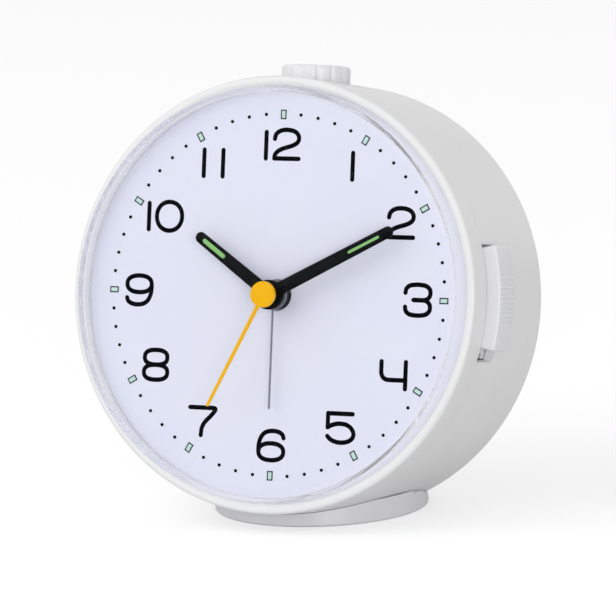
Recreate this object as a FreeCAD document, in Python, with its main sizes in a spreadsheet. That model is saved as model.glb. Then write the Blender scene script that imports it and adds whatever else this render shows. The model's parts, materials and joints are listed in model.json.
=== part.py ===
import FreeCAD, Part
import math
import os
from types import SimpleNamespace

import Sketcher
from FreeCAD import Placement, Rotation, Vector

# Round quartz alarm clock on a low round foot.
# The clock's own frame has x to three o'clock, y from the dial into the case and z to twelve o'clock.
# Its origin is the middle of the dial's face. The finished clock leans back on its foot, whose
# underside's middle is the origin of the whole part, with the dial facing the negative y direction.

# Driving dimensions in millimetres, and angles in degrees clockwise from twelve o'clock
SIZES = [
    ("lean_angle", 10.9, "the case leans back"),
    ("barrel_dip", 4.6, "the barrel would reach this far under the foot's floor if it weren't cut flat"),
    ("foot_setback", 20.3, "middle of the foot behind the middle of the dial"),
    ("case_radius", 49.5, "outside of the barrel"),
    ("case_wall", 2.0, "wall of the barrel and of the bezel"),
    ("parting_depth", 3.7, "seam between bezel and barrel"),
    ("case_depth", 40.5, "rear edge of the barrel"),
    ("rear_round", 4.0, "rounding of the rear edge"),
    ("rim_width", 2.5, "flat rim round the rear cover"),
    ("ledge_width", 1.7, "seat of the rear cover"),
    ("ledge_thick", 1.5, "thickness of that seat"),
    ("spigot_wall", 2.0, "ring of the barrel that enters the bezel"),
    ("fit_gap", 0.1, "play between pieces that stay put"),
    ("run_gap", 0.06, "play of turning arbors and pipes"),
    ("bezel_front", 3.5, "front of the bezel before the dial"),
    ("bezel_round", 1.0, "outer rounding of the bezel"),
    ("mouth_round", 1.25, "inner rounding of the bezel"),
    ("bezel_lip", 0.3, "lip of the bezel inside its bore"),
    ("lip_depth", 1.2, "back of the lip before the dial"),
    ("lens_front", 9.6, "middle of the domed lens before the dial"),
    ("lens_edge", 7.4, "edge of the domed lens before the dial"),
    ("lens_thick", 1.0, "dome of the lens"),
    ("lens_wall", 1.0, "skirt of the lens"),
    ("lens_draft", 0.3, "skirt of the lens narrows by this to its dome"),
    ("lens_round", 0.8, "rounded edge of the lens"),
    ("dial_thick", 0.8, "dial"),
    ("dial_hole", 3.6, "hole in the dial, radius"),
    ("carrier_thick", 1.5, "disc that carries dial and movement"),
    ("print_height", 0.08, "raised print of the dial"),
    ("track_inset", 6.2, "circle of minute dots and hour marks inside the mouth of the bezel"),
    ("dot_radius", 0.38, "minute dot"),
    ("mark_width", 1.5, "hour mark across"),
    ("mark_length", 2.25, "hour mark along the radius"),
    ("numeral_inset", 6.7, "middles of the numerals inside the circle of dots"),
    ("numeral_stroke", 1.02, "stroke of the numerals"),
    ("foot_radius", 24.8, "foot at the table"),
    ("foot_taper", 0.7, "foot narrows by this to its top"),
    ("foot_height", 5.0, "top of the foot"),
    ("foot_floor", 1.6, "floor of the foot under the barrel"),
    ("foot_round", 0.5, "lower edge of the foot"),
    ("foot_recess", 0.4, "hollow under the foot"),
    ("foot_ring", 3.0, "width of the ring that stands on the table"),
    ("foot_pad", 8.0, "disc in the middle that stands on the table, radius"),
    ("foot_screw_side", 12.0, "foot screws to each side"),
    ("foot_screw_back", 1.0, "foot screws behind the middle of the foot"),
    ("boss_radius", 3.0, "screw bosses"),
    ("boss_depth", 9.0, "length of the screw bosses"),
    ("screw_radius", 1.0, "shank of the screws"),
    ("screw_length", 7.0, "shank below the head"),
    ("head_radius", 2.2, "head of the screws"),
    ("head_thick", 1.1, "head of the screws"),
    ("pilot_radius", 1.05, "screw hole in a boss"),
    ("cover_thick", 2.0, "rear cover"),
    ("cover_sink", 1.2, "rear cover below the rear edge"),
    ("cover_screw_inset", 2.1, "cover screws inside the seat of the cover"),
    ("bay_margin", 0.5, "battery bay inside the seat of the cover"),
    ("bay_play", 0.8, "play above and below the cell"),
    ("bay_floor_gap", 0.1, "play before the cell"),
    ("bay_behind_cell", 1.0, "room between the cell and its door"),
    ("bay_wall", 1.2, "walls of the battery bay"),
    ("door_rim", 0.8, "rebate round the battery door"),
    ("door_thick", 1.5, "battery door"),
    ("battery_radius", 7.1, "cell"),
    ("battery_length", 49.3, "can of the cell"),
    ("cap_radius", 2.75, "positive cap of the cell"),
    ("cap_length", 1.2, "positive cap of the cell"),
    ("contact_thick", 0.4, "contact plates"),
    ("contact_half", 5.68, "half the side of a contact plate"),
    ("contact_spring_room", 2.5, "room for the battery spring"),
    ("contact_spring_wire", 0.3, "battery spring, wire radius"),
    ("contact_spring_radius", 3.2, "battery spring, mean radius"),
    ("contact_spring_turns", 2.0, "battery spring"),
    ("housing_half_width", 27.0, "movement to each side"),
    ("housing_top", 22.0, "movement above the hands' axis"),
    ("housing_bottom", 30.0, "movement below the hands' axis"),
    ("housing_wall", 1.2, "movement housing"),
    ("wheel_thick", 0.9, "toothed wheels"),
    ("wheel_gap", 0.5, "space between wheels"),
    ("bridge_thick", 1.0, "middle plate of the movement"),
    ("lid_thick", 1.0, "rear plate of the movement"),
    ("arbor_radius", 0.4, "small arbors"),
    ("setting_arbor_radius", 0.8, "arbors of the two knobs"),
    ("second_arbor_radius", 0.5, "arbor of the second hand"),
    ("pipe_wall", 0.5, "walls of the hands' pipes"),
    ("bush_wall", 0.8, "fixed bush round the pipes"),
    ("bush_front", 1.0, "bush before the dial"),
    ("knob_distance", 10.0, "knob arbors from the hands' axis"),
    ("third_distance", 9.6, "third arbor from the hands' axis"),
    ("transfer_distance", 7.2, "transfer arbor from the hands' axis"),
    ("rotor_distance", 7.0, "rotor from the transfer arbor"),
    ("magnet_radius", 2.5, "rotor magnet"),
    ("stator_hole", 2.9, "hole of the stator"),
    ("stator_half_width", 12.0, "stator to each side"),
    ("coil_drop", 9.8, "coil below the rotor"),
    ("coil_radius", 2.2, "winding"),
    ("coil_length", 14.0, "winding"),
    ("core_half", 0.45, "half the thickness of the coil core"),
    ("bobbin_radius", 1.3, "tube of the bobbin"),
    ("bobbin_cheek", 0.8, "end plates of the bobbin"),
    ("board_thick", 0.8, "circuit board"),
    ("board_half_width", 20.0, "circuit board to each side"),
    ("board_top", -19.0, "circuit board, upper edge"),
    ("board_bottom", -28.0, "circuit board, lower edge"),
    ("board_stand", 2.3, "circuit board before its posts"),
    ("crystal_radius", 1.0, "quartz crystal can"),
    ("crystal_length", 6.0, "quartz crystal can"),
    ("alarm_hand_depth", 2.1, "alarm hand before the dial"),
    ("hour_hand_depth", 4.1, "hour hand before the dial"),
    ("minute_hand_depth", 5.0, "minute hand before the dial"),
    ("second_hand_depth", 7.4, "second hand before the dial"),
    ("hand_thick", 0.35, "hands"),
    ("hub_radius", 3.35, "hubs of the hour, minute and alarm hands"),
    ("hour_length", 21.5, "hour hand to the middle of its round end"),
    ("hour_root", 1.5, "half width of the hour hand at the hub"),
    ("hour_tip", 1.3, "half width of the hour hand at the tip"),
    ("minute_length", 32.3, "minute hand to the middle of its round end"),
    ("minute_root", 1.5, "half width of the minute hand at the hub"),
    ("minute_tip", 1.3, "half width of the minute hand at the tip"),
    ("second_length", 28.8, "second hand"),
    ("second_half", 0.42, "half width of the second hand"),
    ("alarm_length", 25.8, "alarm hand"),
    ("alarm_half", 0.2, "half width of the alarm hand"),
    ("second_cap_radius", 2.95, "cap of the second hand"),
    ("second_cap_height", 1.1, "cap of the second hand"),
    ("lume_thick", 0.12, "luminous strips"),
    ("hour_lume_length", 6.6, "luminous strip of the hour hand"),
    ("hour_lume_inset", 0.5, "its outer end from the middle of the hand's round end"),
    ("hour_lume_half", 0.6, "its half width"),
    ("minute_lume_length", 8.2, "luminous strip of the minute hand"),
    ("minute_lume_inset", 2.3, "its outer end from the middle of the hand's round end"),
    ("minute_lume_half", 0.4, "its half width"),
    ("hour_angle", 305.1, "hour hand at rest"),
    ("minute_angle", 62.6, "minute hand at rest"),
    ("second_angle", 206.8, "second hand at rest"),
    ("alarm_angle", 180.0, "alarm hand at rest"),
    ("button_depth", 17.0, "top button behind the dial"),
    ("button_radius", 7.9, "top button"),
    ("button_rise", 3.4, "top button above the barrel"),
    ("button_chamfer", 0.8, "upper edge of the top button"),
    ("button_gap", 0.25, "play round the top button"),
    ("button_flange", 1.2, "flange of the top button beyond its side"),
    ("button_flange_thick", 1.3, "flange of the top button"),
    ("button_travel", 1.5, "stroke of the top button"),
    ("flute_radius", 0.55, "flutes of the top button"),
    ("flute_count", 14, "flutes of the top button"),
    ("stem_radius", 1.6, "stem of the top button"),
    ("stem_clearance", 0.2, "stem above the plunger with the button pressed"),
    ("sleeve_wall", 1.2, "guide sleeve of the top button"),
    ("spring_space", 9.0, "room for the spring under the top button"),
    ("bracket_thick", 1.6, "plate under the guide sleeve"),
    ("switch_half", 3.0, "half the side of the snooze switch"),
    ("switch_height", 3.0, "snooze switch"),
    ("plunger_radius", 1.2, "plunger of the snooze switch"),
    ("plunger_height", 0.6, "plunger of the snooze switch"),
    ("snooze_spring_radius", 6.0, "spring of the top button, mean radius"),
    ("snooze_spring_wire", 0.35, "spring of the top button, wire radius"),
    ("snooze_spring_turns", 5.0, "spring of the top button"),
    ("slot_start_angle", 74.7, "upper end of the alarm switch slot"),
    ("slot_play_angle", 0.4, "slot beyond the slider at the end of its travel"),
    ("slot_width", 8.8, "slot behind the seam"),
    ("slider_start_angle", 75.6, "upper end of the alarm slider at rest"),
    ("slider_end_angle", 101.8, "lower end of the alarm slider at rest"),
    ("slider_rise", 3.2, "alarm slider above the barrel"),
    ("slider_gap", 0.2, "play round the alarm slider"),
    ("slider_flange_angle", 2.0, "flange of the slider beyond its ends, degrees"),
    ("slider_flange_thick", 1.7, "flange of the slider inside the barrel"),
    ("slider_travel_angle", 3.4, "travel of the alarm slider, degrees"),
    ("rib_count", 9, "grip ribs of the alarm slider"),
    ("rib_start_angle", 85.2, "first grip rib"),
    ("rib_pitch_angle", 1.45, "grip ribs, degrees"),
    ("rib_half", 0.28, "half the width of a grip rib"),
    ("rib_height", 0.3, "grip ribs above the slider"),
    ("rib_length", 7.4, "grip ribs"),
    ("knob_radius", 6.5, "knobs at the back"),
    ("knob_height", 5.5, "knobs at the back"),
    ("knob_gap", 0.7, "knobs behind the cover"),
    ("knob_flute_count", 16, "flutes of the knobs"),
    ("knob_flute_radius", 0.5, "flutes of the knobs"),
    ("knob_stem", 1.7, "stem of a knob through the cover"),
    ("buzzer_radius", 12.0, "sound disc"),
    ("buzzer_thick", 0.4, "sound disc"),
    ("buzzer_margin", 1.7, "sound disc from the upper cover screw's boss"),
    ("buzzer_ring_wall", 1.2, "ring that carries the sound disc"),
    ("buzzer_ring_depth", 4.0, "ring that carries the sound disc"),
    ("sound_slot_count", 5, "slots over the sound disc"),
    ("sound_pitch", 3.4, "slots over the sound disc"),
    ("sound_half_width", 0.8, "half the width of a slot"),
    ("sound_half_length", 6.0, "half the length of a slot"),
    ("post_radius", 1.6, "posts inside the movement"),
    ("chip_radius", 2.6, "clock chip"),
    ("chip_height", 1.2, "clock chip"),
    ("chip_dome_radius", 4.16, "ball that the clock chip's resin drop is part of"),
    ("leaf_thick", 0.3, "alarm contact leaf"),
    ("leaf_level", -14.4, "alarm contact leaf, height"),
    ("leaf_half", 1.5, "half the width of the alarm contact leaf"),
    ("leaf_depth", 9.0, "alarm contact leaf behind the dial"),
]

doc = FreeCAD.newDocument("alarm_clock")
sheet = doc.addObject("Spreadsheet::Sheet", "Sizes")
for row, (alias, number, note) in enumerate(SIZES, start=1):
    sheet.set(f"A{row}", note)
    sheet.set(f"B{row}", str(number))
    sheet.setAlias(f"B{row}", alias)
doc.recompute()


class Size:
    """A dimension with its number and the formula that ties it to the sheet."""

    def __init__(self, number, formula):
        self.number = number
        self.formula = formula

    def __add__(self, other):
        other = as_size(other)
        return Size(self.number + other.number, f"({self.formula} + {other.formula})")

    def __radd__(self, other):
        return as_size(other) + self

    def __sub__(self, other):
        other = as_size(other)
        return Size(self.number - other.number, f"({self.formula} - {other.formula})")

    def __rsub__(self, other):
        return as_size(other) - self

    def __mul__(self, other):
        other = as_size(other)
        return Size(self.number * other.number, f"({self.formula} * {other.formula})")

    def __rmul__(self, other):
        return as_size(other) * self

    def __truediv__(self, other):
        other = as_size(other)
        return Size(self.number / other.number, f"({self.formula} / {other.formula})")

    def __neg__(self):
        return as_size(0) - self


def as_size(value):
    """Lets plain numbers stand beside sizes."""
    return value if isinstance(value, Size) else Size(float(value), str(value))


def sine(angle):
    return Size(math.sin(math.radians(angle.number)), f"sin({angle.formula})")


def cosine(angle):
    return Size(math.cos(math.radians(angle.number)), f"cos({angle.formula})")


def square(size):
    return Size(size.number ** 2, f"({size.formula})^2")


def root(size):
    return Size(math.sqrt(size.number), f"sqrt({size.formula})")


d = SimpleNamespace(**{alias: Size(float(number), f"Sizes.{alias}") for alias, number, _ in SIZES})
nodes = []


# Shared sums of the driving dimensions

lean_sine = sine(d.lean_angle)
lean_cosine = cosine(d.lean_angle)
dial_height = (d.foot_floor + d.fit_gap - d.barrel_dip
               + (d.case_depth - d.rear_round) * lean_sine + d.case_radius * lean_cosine)
bore_radius = d.case_radius - d.case_wall
lip_radius = bore_radius - d.bezel_lip
track_radius = lip_radius - d.track_inset
numeral_radius = track_radius - d.numeral_inset
rim_radius = d.case_radius - d.rear_round - d.rim_width
ledge_radius = rim_radius - d.ledge_width
cover_back = d.case_depth - d.cover_sink
cover_front = cover_back - d.cover_thick
cover_screw_radius = ledge_radius - d.cover_screw_inset
bay_half_length = (d.battery_length + d.cap_length + d.contact_spring_room) / 2 + d.contact_thick + d.fit_gap
bay_low_edge = -root(square(ledge_radius - d.bay_margin) - square(bay_half_length + d.bay_wall))
bay_bottom = bay_low_edge + d.bay_wall
bay_top = bay_bottom + d.battery_radius * 2 + d.bay_play
bay_depth = d.door_thick + d.bay_behind_cell + d.battery_radius * 2 + d.bay_floor_gap
buzzer_height = cover_screw_radius - d.boss_radius - d.buzzer_radius - d.buzzer_margin
carrier_front = d.dial_thick + d.fit_gap
carrier_back = carrier_front + d.carrier_thick
housing_front = carrier_back
level_step = d.wheel_thick + d.wheel_gap
alarm_level = housing_front + d.housing_wall + d.wheel_gap
hour_level = alarm_level + level_step
minute_level = hour_level + level_step
centre_level = minute_level + level_step
third_level = centre_level + level_step
bridge_level = third_level + level_step
second_level = bridge_level + d.bridge_thick + d.wheel_gap
transfer_level = second_level + level_step
lid_level = transfer_level + level_step
lid_back = lid_level + d.lid_thick
rotor_drop = d.transfer_distance + d.rotor_distance
second_pipe = d.second_arbor_radius + d.run_gap
minute_pipe = second_pipe + d.pipe_wall
hour_bore = minute_pipe + d.run_gap
hour_pipe = hour_bore + d.pipe_wall
alarm_bore = hour_pipe + d.run_gap
alarm_pipe = alarm_bore + d.pipe_wall
bush_bore = alarm_pipe + d.run_gap
bush_radius = bush_bore + d.bush_wall
button_top = d.case_radius + d.button_rise
button_flange_top = root(square(bore_radius) - square(d.button_radius + d.button_flange)) - d.button_gap
button_flange_low = button_flange_top - d.button_flange_thick
sleeve_low = button_flange_low - d.spring_space
stem_length = d.spring_space - d.switch_height - d.plunger_height - d.button_travel - d.stem_clearance
sleeve_bore = d.button_radius + d.button_flange + d.button_gap
sleeve_outside = sleeve_bore + d.sleeve_wall
slider_outside = d.case_radius + d.slider_rise
slot_end_angle = d.slider_end_angle + d.slider_travel_angle + d.slot_play_angle
slider_front = d.parting_depth + d.slider_gap
slot_back = d.parting_depth + d.slot_width


# Placing pieces

def stand(piece, x=0, y=0, z=0):
    """Leans a piece whose own origin is at x, y, z of the clock's frame, and sets it on the foot."""
    x, y, z = as_size(x), as_size(y), as_size(z)
    back = y * lean_cosine + z * lean_sine - d.foot_setback
    up = z * lean_cosine - y * lean_sine + dial_height
    place = Placement(Vector(x.number, back.number, up.number),
                      Rotation(Vector(1, 0, 0), -d.lean_angle.number))
    piece.Placement = place
    piece.setExpression("Placement.Base.x", x.formula)
    piece.setExpression("Placement.Base.y", back.formula)
    piece.setExpression("Placement.Base.z", up.formula)
    piece.setExpression("Placement.Rotation.Angle", (-d.lean_angle).formula)


def node(label, piece, x=0, y=0, z=0):
    """Names a finished sub-part and stands it in its place."""
    piece.Label = label
    stand(piece, x, y, z)
    nodes.append(piece)
    return piece


# Sketches and features of bodies

def new_body(name):
    return doc.addObject("PartDesign::Body", f"{name}_body")


def origin_of(body, role):
    return next(item for item in body.Origin.OriginFeatures if item.Role == role)


def new_sketch(body, name, role="XZ_Plane", offset=0):
    """A sketch on one of the body's own planes, moved along that plane's normal."""
    sketch = body.newObject("Sketcher::SketchObject", name)
    sketch.AttachmentSupport = [(origin_of(body, role), "")]
    sketch.MapMode = "FlatFace"
    offset = as_size(offset)
    sketch.AttachmentOffset = Placement(Vector(0, 0, offset.number), Rotation())
    sketch.setExpression("AttachmentOffset.Base.z", offset.formula)
    return sketch


def at_depth(body, name, depth):
    """A sketch that faces the viewer, at a depth behind the dial's face."""
    return new_sketch(body, name, "XZ_Plane", -as_size(depth))


def tie(sketch, kind, value, *where):
    index = sketch.addConstraint(Sketcher.Constraint(kind, *where, value.number))
    sketch.setExpression(f"Constraints[{index}]", value.formula)


def pin(sketch, item, point, across, along):
    """Ties a point of the sketch to the sketch's origin."""
    for value, kind, axis in ((across, "DistanceX", -2), (along, "DistanceY", -1)):
        value = as_size(value)
        if value.formula == "0":
            sketch.addConstraint(Sketcher.Constraint("PointOnObject", item, point, axis))
        else:
            tie(sketch, kind, value, -1, 1, item, point)


def dome_arc(start, end):
    """The arc between two points of a sketch about a middle on the sketch's upright axis.

    It runs anticlockwise, so the second value tells whether it leaves start.
    """
    level = (start.y ** 2 - end.x ** 2 + start.x ** 2 - end.y ** 2) / (2 * (start.y - end.y))
    middle = Vector(0, level, 0)
    turns = [math.atan2(place.y - level, place.x) for place in (start, end)]
    ball = Part.Circle(middle, Vector(0, 0, 1), (start - middle).Length)
    return Part.ArcOfCircle(ball, min(turns), max(turns)), turns[0] < turns[1]


def outline(sketch, corners, domes=()):
    """A closed outline of straight sides. The sides numbered in domes are arcs about the upright axis."""
    corners = [(as_size(a), as_size(b)) for a, b in corners]
    places = [Vector(a.number, b.number, 0) for a, b in corners]
    first = sketch.GeometryCount
    count = len(corners)
    forward = [True] * count
    for i in range(count):
        ends = places[i], places[(i + 1) % count]
        side = Part.LineSegment(*ends)
        if i in domes:
            side, forward[i] = dome_arc(*ends)
        sketch.addGeometry(side, False)
    for i in range(count):
        after = (i + 1) % count
        sketch.addConstraint(Sketcher.Constraint("Coincident", first + i, 2 if forward[i] else 1,
                                                 first + after, 1 if forward[after] else 2))
    for i in domes:
        sketch.addConstraint(Sketcher.Constraint("PointOnObject", first + i, 3, -2))
    for i, (a, b) in enumerate(corners):
        pin(sketch, first + i, 1 if forward[i] else 2, a, b)


def rectangle(sketch, left, low, right, high):
    outline(sketch, [(left, low), (right, low), (right, high), (left, high)])


def circle(sketch, radius, across=0, along=0):
    across, along = as_size(across), as_size(along)
    middle = Vector(across.number, along.number, 0)
    item = sketch.addGeometry(Part.Circle(middle, Vector(0, 0, 1), radius.number), False)
    tie(sketch, "Radius", radius, item)
    pin(sketch, item, 3, across, along)


def pad(body, sketch, length, reverse=False, both_ways=False):
    """Adds the sketched outline. On a sketch that faces the viewer, reverse means into the case."""
    feature = body.newObject("PartDesign::Pad", f"{sketch.Name}_pad")
    feature.Profile = sketch
    feature.setExpression("Length", length.formula)
    feature.Reversed = reverse
    feature.Midplane = both_ways
    doc.recompute()
    return feature


def pocket(body, sketch, length, reverse=False, both_ways=False):
    """Cuts the sketched outline and makes sure that something was cut."""
    before = body.Shape.Volume
    feature = body.newObject("PartDesign::Pocket", f"{sketch.Name}_pocket")
    feature.Profile = sketch
    feature.setExpression("Length", length.formula)
    feature.Reversed = reverse
    feature.Midplane = both_ways
    doc.recompute()
    if body.Shape.Volume >= before - 1e-6:
        raise RuntimeError(f"{feature.Name} cuts nothing")
    return feature


def revolve(body, name, corners, domes=()):
    """Turns an outline of radius and depth once round the hands' axis."""
    sketch = new_sketch(body, name, "XY_Plane")
    outline(sketch, corners, domes)
    feature = body.newObject("PartDesign::Revolution", f"{name}_turn")
    feature.Profile = sketch
    feature.ReferenceAxis = (sketch, ["V_Axis"])
    feature.Angle = 360
    doc.recompute()
    return feature


def shave(body, name, corners):
    """Cuts a turned outline of radius and depth away."""
    before = body.Shape.Volume
    sketch = new_sketch(body, name, "XY_Plane")
    outline(sketch, corners)
    feature = body.newObject("PartDesign::Groove", f"{name}_groove")
    feature.Profile = sketch
    feature.ReferenceAxis = (sketch, ["V_Axis"])
    feature.Angle = 360
    doc.recompute()
    if body.Shape.Volume >= before - 1e-6:
        raise RuntimeError(f"{feature.Name} cuts nothing")
    return feature


def ring_edges(shape, radius, depth):
    """Names of the circular edges of one radius at one depth."""
    names = []
    for index, edge in enumerate(shape.Edges, start=1):
        box = edge.BoundBox
        flat = box.YLength < 1e-6 and abs(box.YMin - depth.number) < 1e-4
        if flat and abs(box.XMax - radius.number) < 1e-3 and abs(box.ZMax - radius.number) < 1e-3:
            names.append(f"Edge{index}")
    return names


def round_ring(body, feature, radius, depth, rounding):
    """Rounds a circular edge about the hands' axis."""
    fillet = body.newObject("PartDesign::Fillet", f"{feature.Name}_round")
    fillet.Base = (feature, ring_edges(feature.Shape, radius, depth))
    fillet.setExpression("Radius", rounding.formula)
    doc.recompute()
    return fillet


def repeat(body, feature, count, role="Y_Axis"):
    """Repeats a feature evenly round one of the body's own axes."""
    pattern = body.newObject("PartDesign::PolarPattern", f"{feature.Name}_ring")
    pattern.Originals = [feature]
    pattern.Axis = (origin_of(body, role), [""])
    pattern.Angle = 360
    pattern.setExpression("Occurrences", count.formula)
    body.Tip = pattern
    doc.recompute()
    return pattern


# Solids by formula, for teeth, springs, print and arcs

def turned(radius, start, end, bore=None):
    """A cylinder about the local y axis from start to end, with a bore if one is given."""
    solid = Part.makeCylinder(radius.number, end.number - start.number,
                              Vector(0, start.number, 0), Vector(0, 1, 0))
    if bore is None:
        return solid
    return solid.cut(Part.makeCylinder(bore.number, end.number - start.number,
                                       Vector(0, start.number, 0), Vector(0, 1, 0)))


# Half tooth width as a share of the pitch, against height in modules from the pitch circle
WHEEL_TOOTH = ((-1.15, 0.215), (0.0, 0.215), (0.45, 0.15), (0.85, 0.05))
PINION_LEAF = ((-1.25, 0.16), (0.0, 0.16), (0.35, 0.12), (0.6, 0.05))


def toothed(teeth, module, form, start, thick, aim, gap_first=False):
    """A toothed disc about the local y axis.

    aim is the direction, in degrees from x towards z, in which a tooth or, with gap_first, a gap points.
    """
    pitch = 2 * math.pi / teeth
    phase = math.radians(aim) + (pitch / 2 if gap_first else 0)
    corners = []
    for tooth in range(teeth):
        middle = phase + pitch * tooth
        flank = [(teeth * module / 2 + module * rise, share * pitch) for rise, share in form]
        for side, steps in ((-1, flank), (1, flank[::-1])):
            for radius, half in steps:
                angle = middle + side * half
                corners.append(Vector(radius * math.cos(angle), start.number, radius * math.sin(angle)))
    corners.append(corners[0])
    return Part.Face(Part.makePolygon(corners)).extrude(Vector(0, thick.number, 0))


def join(shapes):
    """One solid from touching or overlapping ones."""
    return shapes[0].fuse(shapes[1:]).removeSplitter()


def shaped(label, shape, x=0, y=0, z=0):
    """A sub-part whose shape comes from a formula, drawn in place in the clock's own frame."""
    piece = doc.addObject("Part::Feature", label)
    piece.Shape = Part.makeCompound(shape.Solids)
    return node(label, piece, x, y, z)


STEPS_A_TURN = 4


def half_arc(start, corner, end):
    """The circular arc that leaves start and reaches end along the two sides of a corner."""
    chord = end - start
    turn = (corner - start).getAngle(end - corner)
    middle = start + chord * 0.5
    lift = (corner - middle).normalize() * (chord.Length / 2 * math.tan(turn / 4))
    return Part.Arc(start, middle + lift, end).toShape()


def coil_path(mean_radius, turns, rise):
    """A helix about z as pairs of arcs that meet with the helix's own direction."""
    edges = []
    steps = round(turns * STEPS_A_TURN)
    climb = rise / (2 * math.pi * turns)
    for step in range(steps):
        ends = []
        for k in (step, step + 1):
            angle = 2 * math.pi * turns * k / steps
            place = Vector(mean_radius * math.cos(angle), mean_radius * math.sin(angle), climb * angle)
            along = Vector(-mean_radius * math.sin(angle), mean_radius * math.cos(angle), climb).normalize()
            ends.append((place, along))
        (start, leave), (end, arrive) = ends
        gap, both = end - start, leave + arrive
        bend = 2 * (1 - leave.dot(arrive))
        reach = (math.sqrt(gap.dot(both) ** 2 + bend * gap.dot(gap)) - gap.dot(both)) / bend
        first, second = start + leave * reach, end - arrive * reach
        meet = (first + second) * 0.5
        edges += [half_arc(start, first, meet), half_arc(meet, second, end)]
    return edges


def coil_spring(mean_radius, wire_radius, turns, length):
    """An open coil about z, from z = 0 to its free length, as one unbroken round wire."""
    rise = length - 2 * wire_radius
    arcs = coil_path(mean_radius, turns, rise)
    ring = Part.makeCircle(wire_radius, arcs[0].valueAt(arcs[0].FirstParameter),
                           arcs[0].tangentAt(arcs[0].FirstParameter))
    skin = [Part.Face(Part.Wire(ring))]
    for arc in arcs:
        middle, axis = arc.Curve.Center, arc.Curve.Axis
        turn = math.degrees(arc.LastParameter - arc.FirstParameter)
        skin.append(ring.revolve(middle, axis, turn))
        ring = ring.copy()
        ring.rotate(middle, axis, turn)
    skin.append(Part.Face(Part.Wire(ring)))
    print(f"coil of {turns:g} turns, least gap {rise / turns - 2 * wire_radius:.2f} mm")
    shell = Part.Shell(skin)
    shell.sewShape()
    spring = Part.makeSolid(shell)
    if spring.Volume < 0:
        spring.reverse()
    spring.translate(Vector(0, 0, wire_radius))
    return spring


# Barrel, bezel and lens

def make_bezel_ring():
    """White ring with a narrow rounded front, bored out behind its lip for lens, dial and carrier."""
    body = new_body("bezel_ring")
    ring = revolve(body, "bezel_profile", [
        (lip_radius, -d.bezel_front), (d.case_radius, -d.bezel_front),
        (d.case_radius, d.parting_depth), (bore_radius, d.parting_depth),
        (bore_radius, -d.lip_depth), (lip_radius, -d.lip_depth)])
    outside = round_ring(body, ring, d.case_radius, -d.bezel_front, d.bezel_round)
    round_ring(body, outside, lip_radius, -d.bezel_front, d.mouth_round)
    node("bezel_ring", body)


def make_lens():
    """Clear cap: domed face, skirt through the bezel's mouth and a flange behind its lip."""
    body = new_body("lens")
    outside = lip_radius - d.fit_gap
    inside = outside - d.lens_wall
    edge = outside - d.lens_draft
    flange = bore_radius - d.fit_gap
    flange_front = d.fit_gap - d.lip_depth
    cap = revolve(body, "lens_profile", [
        (0, -d.lens_front), (edge, -d.lens_edge), (outside, -d.bezel_front), (outside, flange_front),
        (flange, flange_front), (flange, -d.fit_gap), (inside, -d.fit_gap), (inside, -d.bezel_front),
        (edge - d.lens_wall, d.lens_thick - d.lens_edge), (0, d.lens_thick - d.lens_front)], domes=(0, 8))
    round_ring(body, cap, edge, -d.lens_edge, d.lens_round)
    node("lens", body)


def leaning_height(depth, height):
    """Height in the clock's frame of a level plane above the table, at a depth behind the dial."""
    return (height - dial_height + depth * lean_sine) / lean_cosine


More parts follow.
